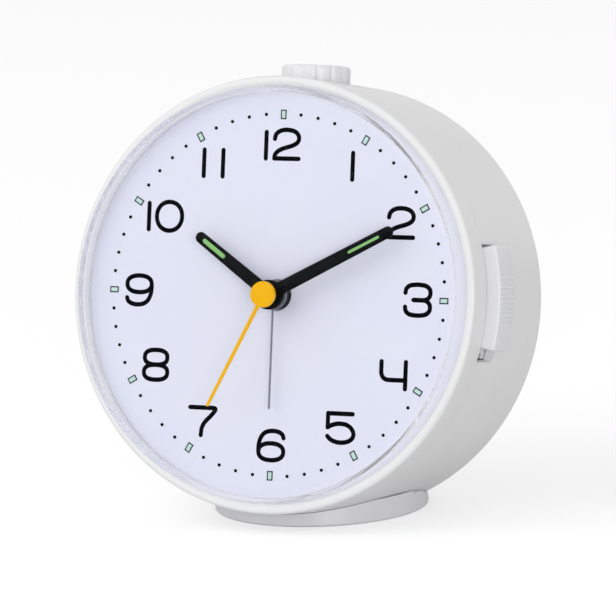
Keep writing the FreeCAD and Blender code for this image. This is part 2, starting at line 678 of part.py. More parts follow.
def make_case_shell():
    """Barrel with spigot, rear rim, cover seat, flat floor, button sleeve and switch slot."""
    body = new_body("case_shell")
    spigot_outside = bore_radius - d.fit_gap
    spigot_inside = spigot_outside - d.spigot_wall
    seat_back = cover_front - d.fit_gap
    seat_front = seat_back - d.ledge_thick
    shell = revolve(body, "case_profile", [
        (spigot_inside, carrier_back + d.fit_gap), (spigot_outside, carrier_back + d.fit_gap),
        (spigot_outside, d.parting_depth + d.fit_gap), (d.case_radius, d.parting_depth + d.fit_gap),
        (d.case_radius, d.case_depth), (rim_radius, d.case_depth),
        (rim_radius, seat_back), (ledge_radius, seat_back), (ledge_radius, seat_front),
        (bore_radius, seat_front - (bore_radius - ledge_radius) * 0.6),
        (bore_radius, d.parting_depth + d.case_wall), (spigot_inside, d.parting_depth + d.case_wall)])
    round_ring(body, shell, d.case_radius, d.case_depth, d.rear_round)

    # Level floor where the barrel dips into the foot
    floor = new_sketch(body, "floor_profile", "YZ_Plane")
    low = d.foot_floor + d.fit_gap
    high = low + d.case_wall
    start = d.parting_depth + d.case_wall
    end = d.case_depth - d.rear_round
    outline(floor, [(start, leaning_height(start, low)), (end, leaning_height(end, low)),
                    (end, leaning_height(end, high)), (start, leaning_height(start, high))])
    pad(body, floor, d.foot_radius * 2, both_ways=True)
    beyond = d.case_radius + d.case_wall * 8
    shave(body, "floor_ends", [
        (d.case_radius, d.parting_depth), (beyond, d.parting_depth), (beyond, end), (d.case_radius, end)])

    # Bosses for the foot screws, square to the table
    for side in (-1, 1):
        boss = new_sketch(body, "foot_boss", "XY_Plane")
        tilt_to_table(boss, side * d.foot_screw_side, low + d.fit_gap)
        circle(boss, d.boss_radius)
        pad(body, boss, d.boss_depth)
    under = new_sketch(body, "table_cut", "YZ_Plane")
    deep = -d.case_radius * 1.5
    outline(under, [(-d.bezel_front, leaning_height(-d.bezel_front, low)),
                    (d.case_depth * 2, leaning_height(d.case_depth * 2, low)),
                    (d.case_depth * 2, deep), (-d.bezel_front, deep)])
    pocket(body, under, d.case_radius * 3, both_ways=True)
    for side in (-1, 1):
        hole = new_sketch(body, "foot_pilot", "XY_Plane")
        tilt_to_table(hole, side * d.foot_screw_side, low - d.fit_gap)
        circle(hole, d.pilot_radius)
        pocket(body, hole, d.boss_depth - d.case_wall / 2, reverse=True)

    # Bosses for the cover screws
    boss = at_depth(body, "cover_boss", seat_back)
    circle(boss, d.boss_radius, 0, cover_screw_radius)
    bosses = pad(body, boss, d.boss_depth)
    repeat(body, bosses, as_size(3))

    # Guide sleeve and hole of the top button
    sleeve = new_sketch(body, "sleeve", "XY_Plane", sleeve_low)
    circle(sleeve, sleeve_outside, 0, d.button_depth)
    circle(sleeve, sleeve_bore, 0, d.button_depth)
    pad(body, sleeve, bore_radius + d.case_wall / 2 - sleeve_low)
    mouth = new_sketch(body, "button_hole", "XY_Plane", sleeve_low)
    circle(mouth, d.button_radius + d.button_gap, 0, d.button_depth)
    pocket(body, mouth, d.case_radius, reverse=True)

    # Screw holes of the cover, through whatever of the sleeve reaches the upper boss
    hole = at_depth(body, "cover_pilot", seat_back)
    circle(hole, d.pilot_radius, 0, cover_screw_radius)
    holes = pocket(body, hole, d.boss_depth - d.case_wall / 2, reverse=True)
    repeat(body, holes, as_size(3))

    # Slot of the alarm switch, open at the seam with the bezel
    slot = at_depth(body, "switch_slot", d.parting_depth)
    wedge(slot, bore_radius - d.case_wall, d.case_radius + d.case_wall, d.slot_start_angle, slot_end_angle)
    pocket(body, slot, d.slot_width)
    node("case_shell", body)


def wedge(sketch, inner, outer, start, end):
    """Four corners between two directions, wide enough to cross the barrel's wall."""
    near, far = inner * cosine((end - start) / 2), outer / cosine((end - start) / 2)
    outline(sketch, [(near * sine(start), near * cosine(start)), (far * sine(start), far * cosine(start)),
                     (far * sine(end), far * cosine(end)), (near * sine(end), near * cosine(end))])


def tilt_to_table(sketch, across, height):
    """Turns a sketch level with the table at the foot screws, so that it faces straight up."""
    back = d.foot_setback + d.foot_screw_back
    rise = height - dial_height
    depth = back * lean_cosine - rise * lean_sine
    level = back * lean_sine + rise * lean_cosine
    sketch.AttachmentOffset = Placement(Vector(across.number, depth.number, level.number),
                                        Rotation(Vector(1, 0, 0), d.lean_angle.number))
    sketch.setExpression("AttachmentOffset.Base.x", across.formula)
    sketch.setExpression("AttachmentOffset.Base.y", depth.formula)
    sketch.setExpression("AttachmentOffset.Base.z", level.formula)
    sketch.setExpression("AttachmentOffset.Rotation.Angle", d.lean_angle.formula)


# Dial and print

def make_dial():
    """Dial, and the disc behind it that carries the movement."""
    body = new_body("dial_plate")
    face = at_depth(body, "dial_face", 0)
    circle(face, bore_radius - d.fit_gap)
    circle(face, d.dial_hole)
    pad(body, face, d.dial_thick, reverse=True)
    node("dial_plate", body)

    body = new_body("dial_carrier")
    face = at_depth(body, "carrier_face", carrier_front)
    circle(face, bore_radius - d.fit_gap)
    circle(face, bush_radius + d.fit_gap)
    for side in (-1, 1):
        circle(face, d.pilot_radius, side * (d.housing_half_width + d.boss_radius), 0)
    pad(body, face, d.carrier_thick, reverse=True)
    node("dial_carrier", body)


def make_track():
    """Four dots between neighbouring hours, and a block at each hour."""
    body = new_body("minute_dots")
    dots = at_depth(body, "dot_group", 0)
    for minute in range(1, 5):
        angle = as_size(minute * 6)
        circle(dots, d.dot_radius, track_radius * sine(angle), track_radius * cosine(angle))
    group = pad(body, dots, d.print_height)
    repeat(body, group, as_size(12))
    node("minute_dots", body)

    body = new_body("hour_markers")
    mark = at_depth(body, "hour_mark", 0)
    rectangle(mark, -d.mark_width / 2, track_radius - d.mark_length / 2,
              d.mark_width / 2, track_radius + d.mark_length / 2)
    group = pad(body, mark, d.print_height)
    repeat(body, group, as_size(12))
    node("hour_markers", body)


# Strokes of the digits about the middle of each: a straight stroke has two points, a bent one is a
# smooth curve through its points, all in millimetres
DIGITS = {
    "1": [[(0.0, -3.0), (0.0, 3.0)]],
    "2": [[(-3.0, 1.3), (-2.1, 2.75), (0.0, 3.2), (2.3, 2.45), (2.95, 1.0), (1.9, -0.2),
           (-0.7, -0.95), (-2.6, -2.05), (-2.97, -3.25)], [(-2.97, -3.3), (3.1, -3.3)]],
    "3": [[(-3.0, 1.6), (-2.2, 3.0), (0.15, 3.45), (2.4, 2.85), (2.8, 1.4), (1.8, 0.2), (-0.2, 0.05)],
          [(-0.95, 0.05), (0.5, 0.0)],
          [(-0.2, 0.0), (1.9, -0.3), (2.85, -1.7), (2.1, -3.0), (0.2, -3.45), (-2.0, -2.95), (-2.95, -1.55)]],
    "4": [[(-3.0, 3.0), (-3.0, 0.75)], [(-3.0, 0.75), (-2.55, -0.6), (-1.1, -1.0)],
          [(-1.1, -1.0), (2.9, -1.0)], [(2.95, 3.0), (2.95, -3.0)]],
    "5": [[(-3.15, 3.25), (2.9, 3.25)], [(-3.12, 3.2), (-3.12, -0.05)],
          [(-3.12, -0.1), (-1.1, 0.72), (1.5, 0.65), (3.2, -0.95), (2.1, -2.85), (-0.4, -3.28),
           (-2.5, -2.7), (-3.2, -1.95)]],
    "6": [[(3.15, 1.95), (1.9, 3.05), (0.0, 3.37), (-2.25, 2.55), (-3.15, 0.1), (-3.05, -1.5)],
          [(0.05, 0.62), (2.25, 0.1), (3.1, -1.4), (2.25, -2.85), (0.0, -3.37), (-2.25, -2.85), (-3.1, -1.4),
           (-2.25, 0.1), (0.05, 0.62)]],
    "7": [[(-3.0, 3.15), (2.4, 3.15)], [(2.4, 3.15), (1.35, 1.1), (0.1, -0.7), (-0.55, -3.2)]],
    "8": [[(0.0, 3.45), (2.4, 3.0), (3.0, 1.75), (2.3, 0.45), (0.0, 0.05), (-2.3, 0.45), (-3.0, 1.75),
           (-2.4, 3.0), (0.0, 3.45)],
          [(0.0, 0.05), (2.35, -0.4), (3.05, -1.7), (2.4, -2.95), (0.0, -3.4), (-2.4, -2.95),
           (-3.05, -1.7), (-2.35, -0.4), (0.0, 0.05)]],
    "0": [[(0.0, 3.3), (2.4, 2.4), (3.2, 0.0), (2.4, -2.4), (0.0, -3.3), (-2.4, -2.4), (-3.2, 0.0),
           (-2.4, 2.4), (0.0, 3.3)]],
}
# Digits of each hour and how far each stands from the middle of the numeral
NUMERALS = {
    1: (("1", 0.3),), 2: (("2", 0.1),), 3: (("3", 0.2),), 4: (("4", -0.4),), 5: (("5", -0.2),),
    6: (("6", 0.0),), 7: (("7", 0.2),), 8: (("8", 0.1),), 9: (("6", -0.2),),
    10: (("1", -3.05), ("0", 2.05)), 11: (("1", -2.3), ("1", 2.5)), 12: (("1", -4.05), ("2", 1.0)),
}
CURVE_STEPS = 28


def stroke_face(points, width):
    """A ribbon of even width with round ends along a straight or smooth path."""
    path = [Vector(x, 0, z) for x, z in points]
    closed = len(points) > 2 and points[0] == points[-1]
    if len(points) > 2:
        curve = Part.BSplineCurve()
        curve.interpolate(path[:-1] if closed else path, PeriodicFlag=closed)
        span = curve.LastParameter - curve.FirstParameter
        steps = [curve.FirstParameter + span * k / CURVE_STEPS for k in range(CURVE_STEPS + 1)]
        path = [curve.value(step) for step in steps]
        tangents = [curve.tangent(step)[0] for step in steps]
    else:
        tangents = [(path[1] - path[0]).normalize()] * 2
    sides = []
    for half in (width / 2, -width / 2):
        sides.append([p + Vector(-t.z, 0, t.x) * half for p, t in zip(path, tangents)])
    if closed:
        rings = [Part.Face(Part.makePolygon(side[:-1] + side[:1])) for side in sides]
        rings.sort(key=lambda face: face.Area)
        return rings[1].cut(rings[0])
    end = path[-1] + tangents[-1] * (width / 2)
    start = path[0] - tangents[0] * (width / 2)
    edges = [Part.makePolygon(sides[0]), Part.Arc(sides[0][-1], end, sides[1][-1]).toShape(),
             Part.makePolygon(sides[1][::-1]), Part.Arc(sides[1][0], start, sides[0][0]).toShape()]
    pieces = [edge for item in edges for edge in item.Edges]
    return Part.Face(Part.Wire(Part.__sortEdges__(pieces)))


def make_numerals():
    """Twelve upright numerals, each printed as rounded strokes."""
    solids = []
    for hour, digits in NUMERALS.items():
        angle = math.radians(30 * hour)
        middle = Vector(numeral_radius.number * math.sin(angle), 0,
                        numeral_radius.number * math.cos(angle))
        for digit, shift in digits:
            turn = -1 if hour == 9 else 1
            strokes = []
            for stroke in DIGITS[digit]:
                face = stroke_face([(turn * x, turn * z) for x, z in stroke], d.numeral_stroke.number)
                strokes.append(face.extrude(Vector(0, -d.print_height.number, 0)))
            whole = join(strokes) if len(strokes) > 1 else strokes[0]
            whole.translate(middle + Vector(shift, 0, 0))
            solids.extend(whole.Solids)
    shaped("dial_numerals", Part.makeCompound(solids))


# Hands

def hand_outline(sketch, length, root, tip, angle):
    """Tapered bar from the hub along a direction, clockwise from twelve o'clock."""
    across, along = cosine(angle), sine(angle)
    corners = [(-1, root, 0), (1, root, 0), (1, tip, length), (-1, tip, length)]
    outline(sketch, [(along * reach + across * (side * half), across * reach - along * (side * half))
                     for side, half, reach in corners])


def make_bar_hand(name, depth, length, root, tip, angle, bore, collar, collar_length):
    """Hour or minute hand: hub on its pipe, tapered bar and round end."""
    body = new_body(name)
    back = -depth + d.hand_thick
    bar = at_depth(body, f"{name}_bar", back)
    hand_outline(bar, length, root, tip, angle)
    pad(body, bar, d.hand_thick)
    end = at_depth(body, f"{name}_end", back)
    circle(end, tip, length * sine(angle), length * cosine(angle))
    pad(body, end, d.hand_thick)
    hub = at_depth(body, f"{name}_hub", back)
    circle(hub, d.hub_radius)
    pad(body, hub, d.hand_thick)
    sleeve = at_depth(body, f"{name}_collar", back + collar_length)
    circle(sleeve, collar)
    pad(body, sleeve, collar_length)
    hole = at_depth(body, f"{name}_bore", -depth - d.hand_thick)
    circle(hole, bore)
    pocket(body, hole, d.hand_thick * 3 + collar_length)
    node(name, body)


def make_lume(name, depth, length, end, half, angle):
    """Luminous strip laid on a hand."""
    body = new_body(name)
    strip = at_depth(body, f"{name}_strip", -depth)
    start = end - length
    across, along = cosine(angle), sine(angle)
    corners = [(-half, start), (half, start), (half, end), (-half, end)]
    outline(strip, [(along * reach + across * side, across * reach - along * side)
                    for side, reach in corners])
    pad(body, strip, d.lume_thick)
    for place, reach in (("inner", start), ("outer", end)):
        cap = at_depth(body, f"{name}_{place}", -depth)
        circle(cap, half, along * reach, across * reach)
        pad(body, cap, d.lume_thick)
    node(name, body)


def make_hands():
    play = d.run_gap / 3
    make_bar_hand("hour_hand", d.hour_hand_depth, d.hour_length, d.hour_root, d.hour_tip, d.hour_angle,
                  hour_pipe + play, hour_pipe + d.bush_wall, d.hand_thick * 3)
    make_bar_hand("minute_hand", d.minute_hand_depth, d.minute_length, d.minute_root, d.minute_tip,
                  d.minute_angle, minute_pipe + play, minute_pipe + d.bush_wall, d.hand_thick)
    make_lume("hour_hand_lume", d.hour_hand_depth, d.hour_lume_length, d.hour_length - d.hour_lume_inset,
              d.hour_lume_half, d.hour_angle)
    make_lume("minute_hand_lume", d.minute_hand_depth, d.minute_lume_length,
              d.minute_length - d.minute_lume_inset, d.minute_lume_half, d.minute_angle)

    # Thin alarm hand on its own hub
    body = new_body("alarm_hand")
    back = -d.alarm_hand_depth + d.hand_thick
    bar = at_depth(body, "alarm_bar", back)
    hand_outline(bar, d.alarm_length, d.alarm_half, d.alarm_half, d.alarm_angle)
    pad(body, bar, d.hand_thick)
    hub = at_depth(body, "alarm_hub", back)
    circle(hub, d.hub_radius)
    pad(body, hub, d.hand_thick)
    hole = at_depth(body, "alarm_hub_bore", -d.alarm_hand_depth - d.hand_thick)
    circle(hole, alarm_pipe + play)
    pocket(body, hole, d.hand_thick * 3)
    node("alarm_hand", body)

    # Second hand with its round cap and the tube that grips the arbor
    body = new_body("second_hand")
    back = -d.second_hand_depth + d.hand_thick
    bar = at_depth(body, "second_bar", back)
    hand_outline(bar, d.second_length, d.second_half, d.second_half * 0.8, d.second_angle)
    pad(body, bar, d.hand_thick)
    cap = at_depth(body, "second_cap", back)
    circle(cap, d.second_cap_radius)
    pad(body, cap, d.second_cap_height)
    tube = at_depth(body, "second_tube", back + d.hand_thick * 2)
    circle(tube, minute_pipe)
    pad(body, tube, d.hand_thick * 3)
    hole = at_depth(body, "second_bore", back + d.hand_thick * 2)
    circle(hole, d.second_arbor_radius + play)
    pocket(body, hole, d.hand_thick * 3, reverse=True)
    node("second_hand", body)


# Movement

def module_of(distance, teeth, leaves):
    return 2 * distance.number / (teeth + leaves)


TOOTH_COUNTS = {
    "alarm": (30, 10), "hour": (32, 8), "minute": (30, 10), "centre": (64, 8),
    "third": (60, 8), "second": (40, 8), "transfer": (48, 8),
}


def make_train():
    """All wheels, pinions, arbors and pipes of the movement."""
    knob = d.knob_distance
    mesh = {
        "alarm": module_of(knob, *TOOTH_COUNTS["alarm"]), "hour": module_of(knob, *TOOTH_COUNTS["hour"]),
        "minute": module_of(knob, *TOOTH_COUNTS["minute"]),
        "centre": module_of(d.third_distance, *TOOTH_COUNTS["centre"]),
        "third": module_of(d.third_distance, *TOOTH_COUNTS["third"]),
        "second": module_of(d.transfer_distance, *TOOTH_COUNTS["second"]),
        "transfer": module_of(d.rotor_distance, *TOOTH_COUNTS["transfer"]),
    }
    right, up, left, down = 0, 90, 180, 270
    thick = d.wheel_thick

    def wheel(name, start, aim):
        return toothed(TOOTH_COUNTS[name][0], mesh[name], WHEEL_TOOTH, start, thick, aim)

    def pinion(name, start, aim, extra=0):
        return toothed(TOOTH_COUNTS[name][1], mesh[name], PINION_LEAF, start, thick + extra, aim, True)

    def pierced(shapes, radius, start, end):
        return join(shapes).cut(turned(radius, start, end))

    # Concentric pipes of the alarm, hour and minute hands
    alarm_front = -d.alarm_hand_depth - d.hand_thick / 2
    shaped("alarm_wheel", pierced([wheel("alarm", alarm_level, right),
                                   turned(alarm_pipe, alarm_front, alarm_level + thick)],
                                  alarm_bore, alarm_front, alarm_level + thick))
    hour_front = -d.hour_hand_depth - d.hand_thick / 2
    shaped("hour_wheel", pierced([wheel("hour", hour_level, left),
                                  turned(hour_pipe, hour_front, hour_level + thick)],
                                 hour_bore, hour_front, hour_level + thick))
    minute_front = -d.minute_hand_depth - d.hand_thick
    minute_back = centre_level + thick + d.wheel_gap / 4
    shaped("cannon_pinion", pierced([pinion("minute", minute_level, left),
                                     turned(minute_pipe, minute_front, minute_back)],
                                    second_pipe, minute_front, minute_back))
    centre = wheel("centre", centre_level, up)
    shaped("centre_wheel", centre.cut(turned(hour_bore, centre_level, centre_level + thick)))
    # Arbor of the second hand with its pinion and wheel
    second_front = -d.second_hand_depth
    shaped("second_wheel", join([turned(d.second_arbor_radius, second_front, lid_level + d.lid_thick / 2),
                                 pinion("third", third_level, up), wheel("second", second_level, down)]))
    # Third wheel drives the centre wheel through its pinion
    front_pivot = housing_front + d.housing_wall / 2
    shaped("third_wheel", join([turned(d.arbor_radius, front_pivot, bridge_level + d.bridge_thick / 2),
                                pinion("centre", centre_level, down), wheel("third", third_level, down)]),
           z=d.third_distance)
    # Transfer wheel between rotor and second wheel
    shaped("transfer_wheel", join([
        turned(d.arbor_radius, bridge_level + d.bridge_thick / 2, lid_level + d.lid_thick / 2),
        pinion("second", second_level, up), wheel("transfer", transfer_level, down)]),
        z=-d.transfer_distance)
    # Rotor pinion, with the ring magnet in the stator's hole
    shaped("rotor_pinion", join([
        turned(d.arbor_radius, bridge_level + d.bridge_thick / 2, lid_level + d.lid_thick / 2),
        pinion("transfer", transfer_level, up)]), z=-rotor_drop)
    shaped("rotor_magnet", turned(d.magnet_radius, second_level, second_level + thick,
                                  d.arbor_radius + d.run_gap / 3), z=-rotor_drop)
    # Motion work: minute wheel on the arbor of the time knob, and the alarm knob's arbor
    knob_front = cover_back + d.knob_gap
    tail = knob_front + d.knob_height / 2
    shaped("minute_wheel", join([turned(d.setting_arbor_radius, front_pivot, tail),
                                 pinion("hour", hour_level, right), wheel("minute", minute_level, right)]),
           x=-knob)
    shaped("alarm_set_arbor", join([turned(d.setting_arbor_radius, front_pivot, tail),
                                    pinion("alarm", alarm_level, left)]), x=knob)


def make_housing():
    """Open box of the movement with its bush, pivot holes, posts and screw ears."""
    body = new_body("movement_housing")
    face = at_depth(body, "housing_face", housing_front)
    half, top, low, wall = d.housing_half_width, d.housing_top, -d.housing_bottom, d.housing_wall
    rectangle(face, -half, low, half, top)
    pad(body, face, lid_level - housing_front, reverse=True)
    inside = at_depth(body, "housing_inside", housing_front + wall)
    rectangle(inside, wall - half, low + wall, half - wall, top - wall)
    pocket(body, inside, lid_level - housing_front)
    ears = at_depth(body, "housing_ears", housing_front)
    ear = half + d.boss_radius * 2
    rectangle(ears, -ear, -d.boss_radius, ear, d.boss_radius)
    pad(body, ears, wall, reverse=True)
    bush = at_depth(body, "bush", housing_front + wall)
    circle(bush, bush_radius)
    pad(body, bush, housing_front + wall + d.bush_front)
    hole = at_depth(body, "bush_hole", housing_front + wall)
    circle(hole, bush_bore)
    pocket(body, hole, housing_front + wall + d.bush_front * 2, reverse=True)
    posts = at_depth(body, "bridge_posts", housing_front + wall)
    for side in (-1, 1):
        for height in (top - wall - d.post_radius * 2, -rotor_drop):
            circle(posts, d.post_radius, side * (half - wall - d.post_radius), height)
    pad(body, posts, bridge_level - housing_front - wall, reverse=True)
    board = at_depth(body, "board_posts", housing_front + wall)
    middle = (d.board_top + d.board_bottom) / 2
    for side in (-1, 1):
        circle(board, d.post_radius, side * (d.board_half_width - d.post_radius * 2), middle)
    pad(body, board, d.board_stand, reverse=True)
    ear_holes = at_depth(body, "ear_holes", housing_front)
    for side in (-1, 1):
        circle(ear_holes, d.screw_radius + d.fit_gap, side * (half + d.boss_radius), 0)
    pocket(body, ear_holes, wall)
    pivots = at_depth(body, "pivots", housing_front + wall)
    circle(pivots, d.arbor_radius + d.run_gap, 0, d.third_distance)
    for side in (-1, 1):
        circle(pivots, d.setting_arbor_radius + d.run_gap, side * d.knob_distance, 0)
    pocket(body, pivots, wall * 0.75, reverse=True)
    node("movement_housing", body)


def make_plates():
    """Middle plate and rear plate, with the holes in which the arbors turn."""
    body = new_body("train_bridge")
    face = at_depth(body, "bridge_face", bridge_level)
    half = d.housing_half_width - d.housing_wall - d.fit_gap
    high = d.housing_top - d.housing_wall - d.fit_gap
    low = -rotor_drop - d.magnet_radius - d.post_radius
    rectangle(face, -half, low, half, high)
    circle(face, d.second_arbor_radius + d.run_gap)
    for side in (-1, 1):
        circle(face, d.setting_arbor_radius + d.run_gap, side * d.knob_distance, 0)
    for height in (d.third_distance, -d.transfer_distance, -rotor_drop):
        circle(face, d.arbor_radius + d.run_gap, 0, height)
    pad(body, face, d.bridge_thick, reverse=True)
    seats = at_depth(body, "stator_seats", bridge_level + d.bridge_thick)
    for side in (-1, 1):
        circle(seats, d.post_radius, side * (d.stator_half_width - d.post_radius * 1.5), -rotor_drop)
    pad(body, seats, d.wheel_gap, reverse=True)
    node("train_bridge", body)

    body = new_body("movement_lid")
    face = at_depth(body, "lid_face", lid_level)
    rectangle(face, -d.housing_half_width, -d.housing_bottom, d.housing_half_width, d.housing_top)
    for side in (-1, 1):
        circle(face, d.setting_arbor_radius + d.run_gap, side * d.knob_distance, 0)
    pad(body, face, d.lid_thick, reverse=True)
    pivots = at_depth(body, "lid_pivots", lid_level)
    circle(pivots, d.second_arbor_radius + d.run_gap)
    for height in (-d.transfer_distance, -rotor_drop):
        circle(pivots, d.arbor_radius + d.run_gap, 0, height)
    pocket(body, pivots, d.lid_thick * 0.75)
    node("movement_lid", body)


def make_motor():
    """Stator round the rotor, with the coil on its core below."""
    body = new_body("stator")
    half, middle = d.stator_half_width, -rotor_drop
    arm = d.magnet_radius + d.post_radius - d.run_gap
    low = middle - d.coil_drop
    face = at_depth(body, "stator_face", second_level)
    leg = half - d.post_radius * 1.6
    outline(face, [(-half, low - d.coil_radius / 2), (-leg, low - d.coil_radius / 2), (-leg, middle - arm),
                   (leg, middle - arm), (leg, low - d.coil_radius / 2), (half, low - d.coil_radius / 2),
                   (half, middle + arm / 2), (-half, middle + arm / 2)])
    pad(body, face, d.wheel_thick, reverse=True)
    ring = at_depth(body, "stator_ring", second_level)
    circle(ring, arm, 0, middle)
    pad(body, ring, d.wheel_thick, reverse=True)
    hole = at_depth(body, "rotor_hole", second_level)
    circle(hole, d.stator_hole, 0, middle)
    pocket(body, hole, d.wheel_thick)
    core = new_sketch(body, "coil_core", "YZ_Plane")
    mid = second_level + d.wheel_thick / 2
    rectangle(core, mid - d.core_half, low - d.core_half * 2, mid + d.core_half, low + d.core_half * 2)
    pad(body, core, half * 2 - d.post_radius, both_ways=True)
    node("stator", body)

    # Bobbin and winding share the core
    def on_core(radius, length, bore=None):
        start = Vector(-length / 2, mid.number, low.number)
        solid = Part.makeCylinder(radius, length, start, Vector(1, 0, 0))
        return solid if bore is None else solid.cut(Part.makeCylinder(bore, length, start, Vector(1, 0, 0)))

    tube_radius = d.bobbin_radius.number
    bore = Part.makeBox(d.coil_length.number * 2, d.core_half.number * 2 + 2 * d.run_gap.number,
                        d.core_half.number * 4 + 2 * d.run_gap.number,
                        Vector(-d.coil_length.number, (mid - d.core_half - d.run_gap).number,
                               (low - d.core_half * 2 - d.run_gap).number))
    cheek = d.bobbin_cheek.number
    length = d.coil_length.number
    cheeks = [on_core(d.coil_radius.number, cheek) for _ in range(2)]
    cheeks[0].translate(Vector((length + cheek) / 2, 0, 0))
    cheeks[1].translate(Vector(-(length + cheek) / 2, 0, 0))
    shaped("coil_bobbin", join([on_core(tube_radius, length + cheek)] + cheeks).cut(bore))
    inside = tube_radius + d.run_gap.number / 3
    shaped("motor_coil", on_core(d.coil_radius.number - d.fit_gap.number, length - d.fit_gap.number, inside))


def make_electronics():
    """Circuit board with chip and crystal, sound disc and the alarm contact leaf."""
    body = new_body("circuit_board")
    front = housing_front + d.housing_wall + d.board_stand
    face = at_depth(body, "board_face", front)
    rectangle(face, -d.board_half_width, d.board_bottom, d.board_half_width, d.board_top)
    pad(body, face, d.board_thick, reverse=True)
    node("circuit_board", body)
    back = (front + d.board_thick).number
    middle = ((d.board_top + d.board_bottom) / 2).number
    dome = Part.makeSphere(d.chip_dome_radius.number, Vector(0, 0, 0))
    sink = math.sqrt(d.chip_dome_radius.number ** 2 - d.chip_radius.number ** 2)
    dome.translate(Vector(0, back - sink, middle))
    reach = d.chip_dome_radius.number
    slab = Part.makeBox(2 * reach, d.chip_height.number, 2 * reach, Vector(-reach, back, middle - reach))
    shaped("clock_chip", dome.common(slab))
    can = Part.makeCylinder(d.crystal_radius.number, d.crystal_length.number,
                            Vector(d.board_half_width.number / 3, back + d.crystal_radius.number, middle),
                            Vector(1, 0, 0))
    shaped("quartz_crystal", can)

    body = new_body("buzzer")
    face = at_depth(body, "buzzer_face", cover_front - d.buzzer_ring_depth - d.buzzer_thick)
    circle(face, d.buzzer_radius, 0, buzzer_height)
    pad(body, face, d.buzzer_thick, reverse=True)
    node("buzzer", body)

    leaf = Part.makeBox(bore_radius.number - d.slider_flange_thick.number * 2 - d.housing_half_width.number,
                        d.leaf_half.number * 2, d.leaf_thick.number,
                        Vector(d.housing_half_width.number, d.leaf_depth.number - d.leaf_half.number,
                               d.leaf_level.number))
    shaped("alarm_contact", leaf)


# Rear cover, battery and knobs

def make_cover():
    """Rear cover with battery bay, sound slots, sound disc ring and holes for knobs and screws."""
    body = new_body("back_cover")
    face = at_depth(body, "cover_face", cover_front)
    circle(face, rim_radius - d.fit_gap)
    pad(body, face, d.cover_thick, reverse=True)
    half, wall = bay_half_length, d.bay_wall
    bay = at_depth(body, "bay_outside", cover_front)
    rectangle(bay, -half - wall, bay_bottom - wall, half + wall, bay_top + wall)
    pad(body, bay, bay_depth + wall - d.cover_thick)
    hollow = at_depth(body, "bay_inside", cover_back)
    rectangle(hollow, -half, bay_bottom, half, bay_top)
    pocket(body, hollow, bay_depth, reverse=True)
    rebate = at_depth(body, "door_rebate", cover_back)
    rim = d.door_rim
    rectangle(rebate, -half - rim, bay_bottom - rim, half + rim, bay_top + rim)
    pocket(body, rebate, d.door_thick + d.fit_gap, reverse=True)
    ring = at_depth(body, "buzzer_ring", cover_front)
    circle(ring, d.buzzer_radius, 0, buzzer_height)
    circle(ring, d.buzzer_radius - d.buzzer_ring_wall, 0, buzzer_height)
    pad(body, ring, d.buzzer_ring_depth)
    slots = at_depth(body, "sound_slots", cover_back)
    middle = (int(d.sound_slot_count.number) - 1) / 2
    for index in range(int(d.sound_slot_count.number)):
        left = d.sound_pitch * (index - middle) - d.sound_half_width
        rectangle(slots, left, buzzer_height - d.sound_half_length,
                  left + d.sound_half_width * 2, buzzer_height + d.sound_half_length)
    pocket(body, slots, d.cover_thick, reverse=True)
    knobs = at_depth(body, "knob_holes", cover_back)
    for side in (-1, 1):
        circle(knobs, d.knob_stem + d.button_gap, side * d.knob_distance, 0)
    pocket(body, knobs, d.cover_thick, reverse=True)
    hole = at_depth(body, "cover_screw_hole", cover_back)
    circle(hole, d.screw_radius + d.fit_gap, 0, cover_screw_radius)
    holes = pocket(body, hole, d.cover_thick, reverse=True)
    repeat(body, holes, as_size(3))
    sink = at_depth(body, "cover_screw_sink", cover_back)
    circle(sink, d.head_radius + d.fit_gap, 0, cover_screw_radius)
    sinks = pocket(body, sink, d.head_thick, reverse=True)
    repeat(body, sinks, as_size(3))
    node("back_cover", body)


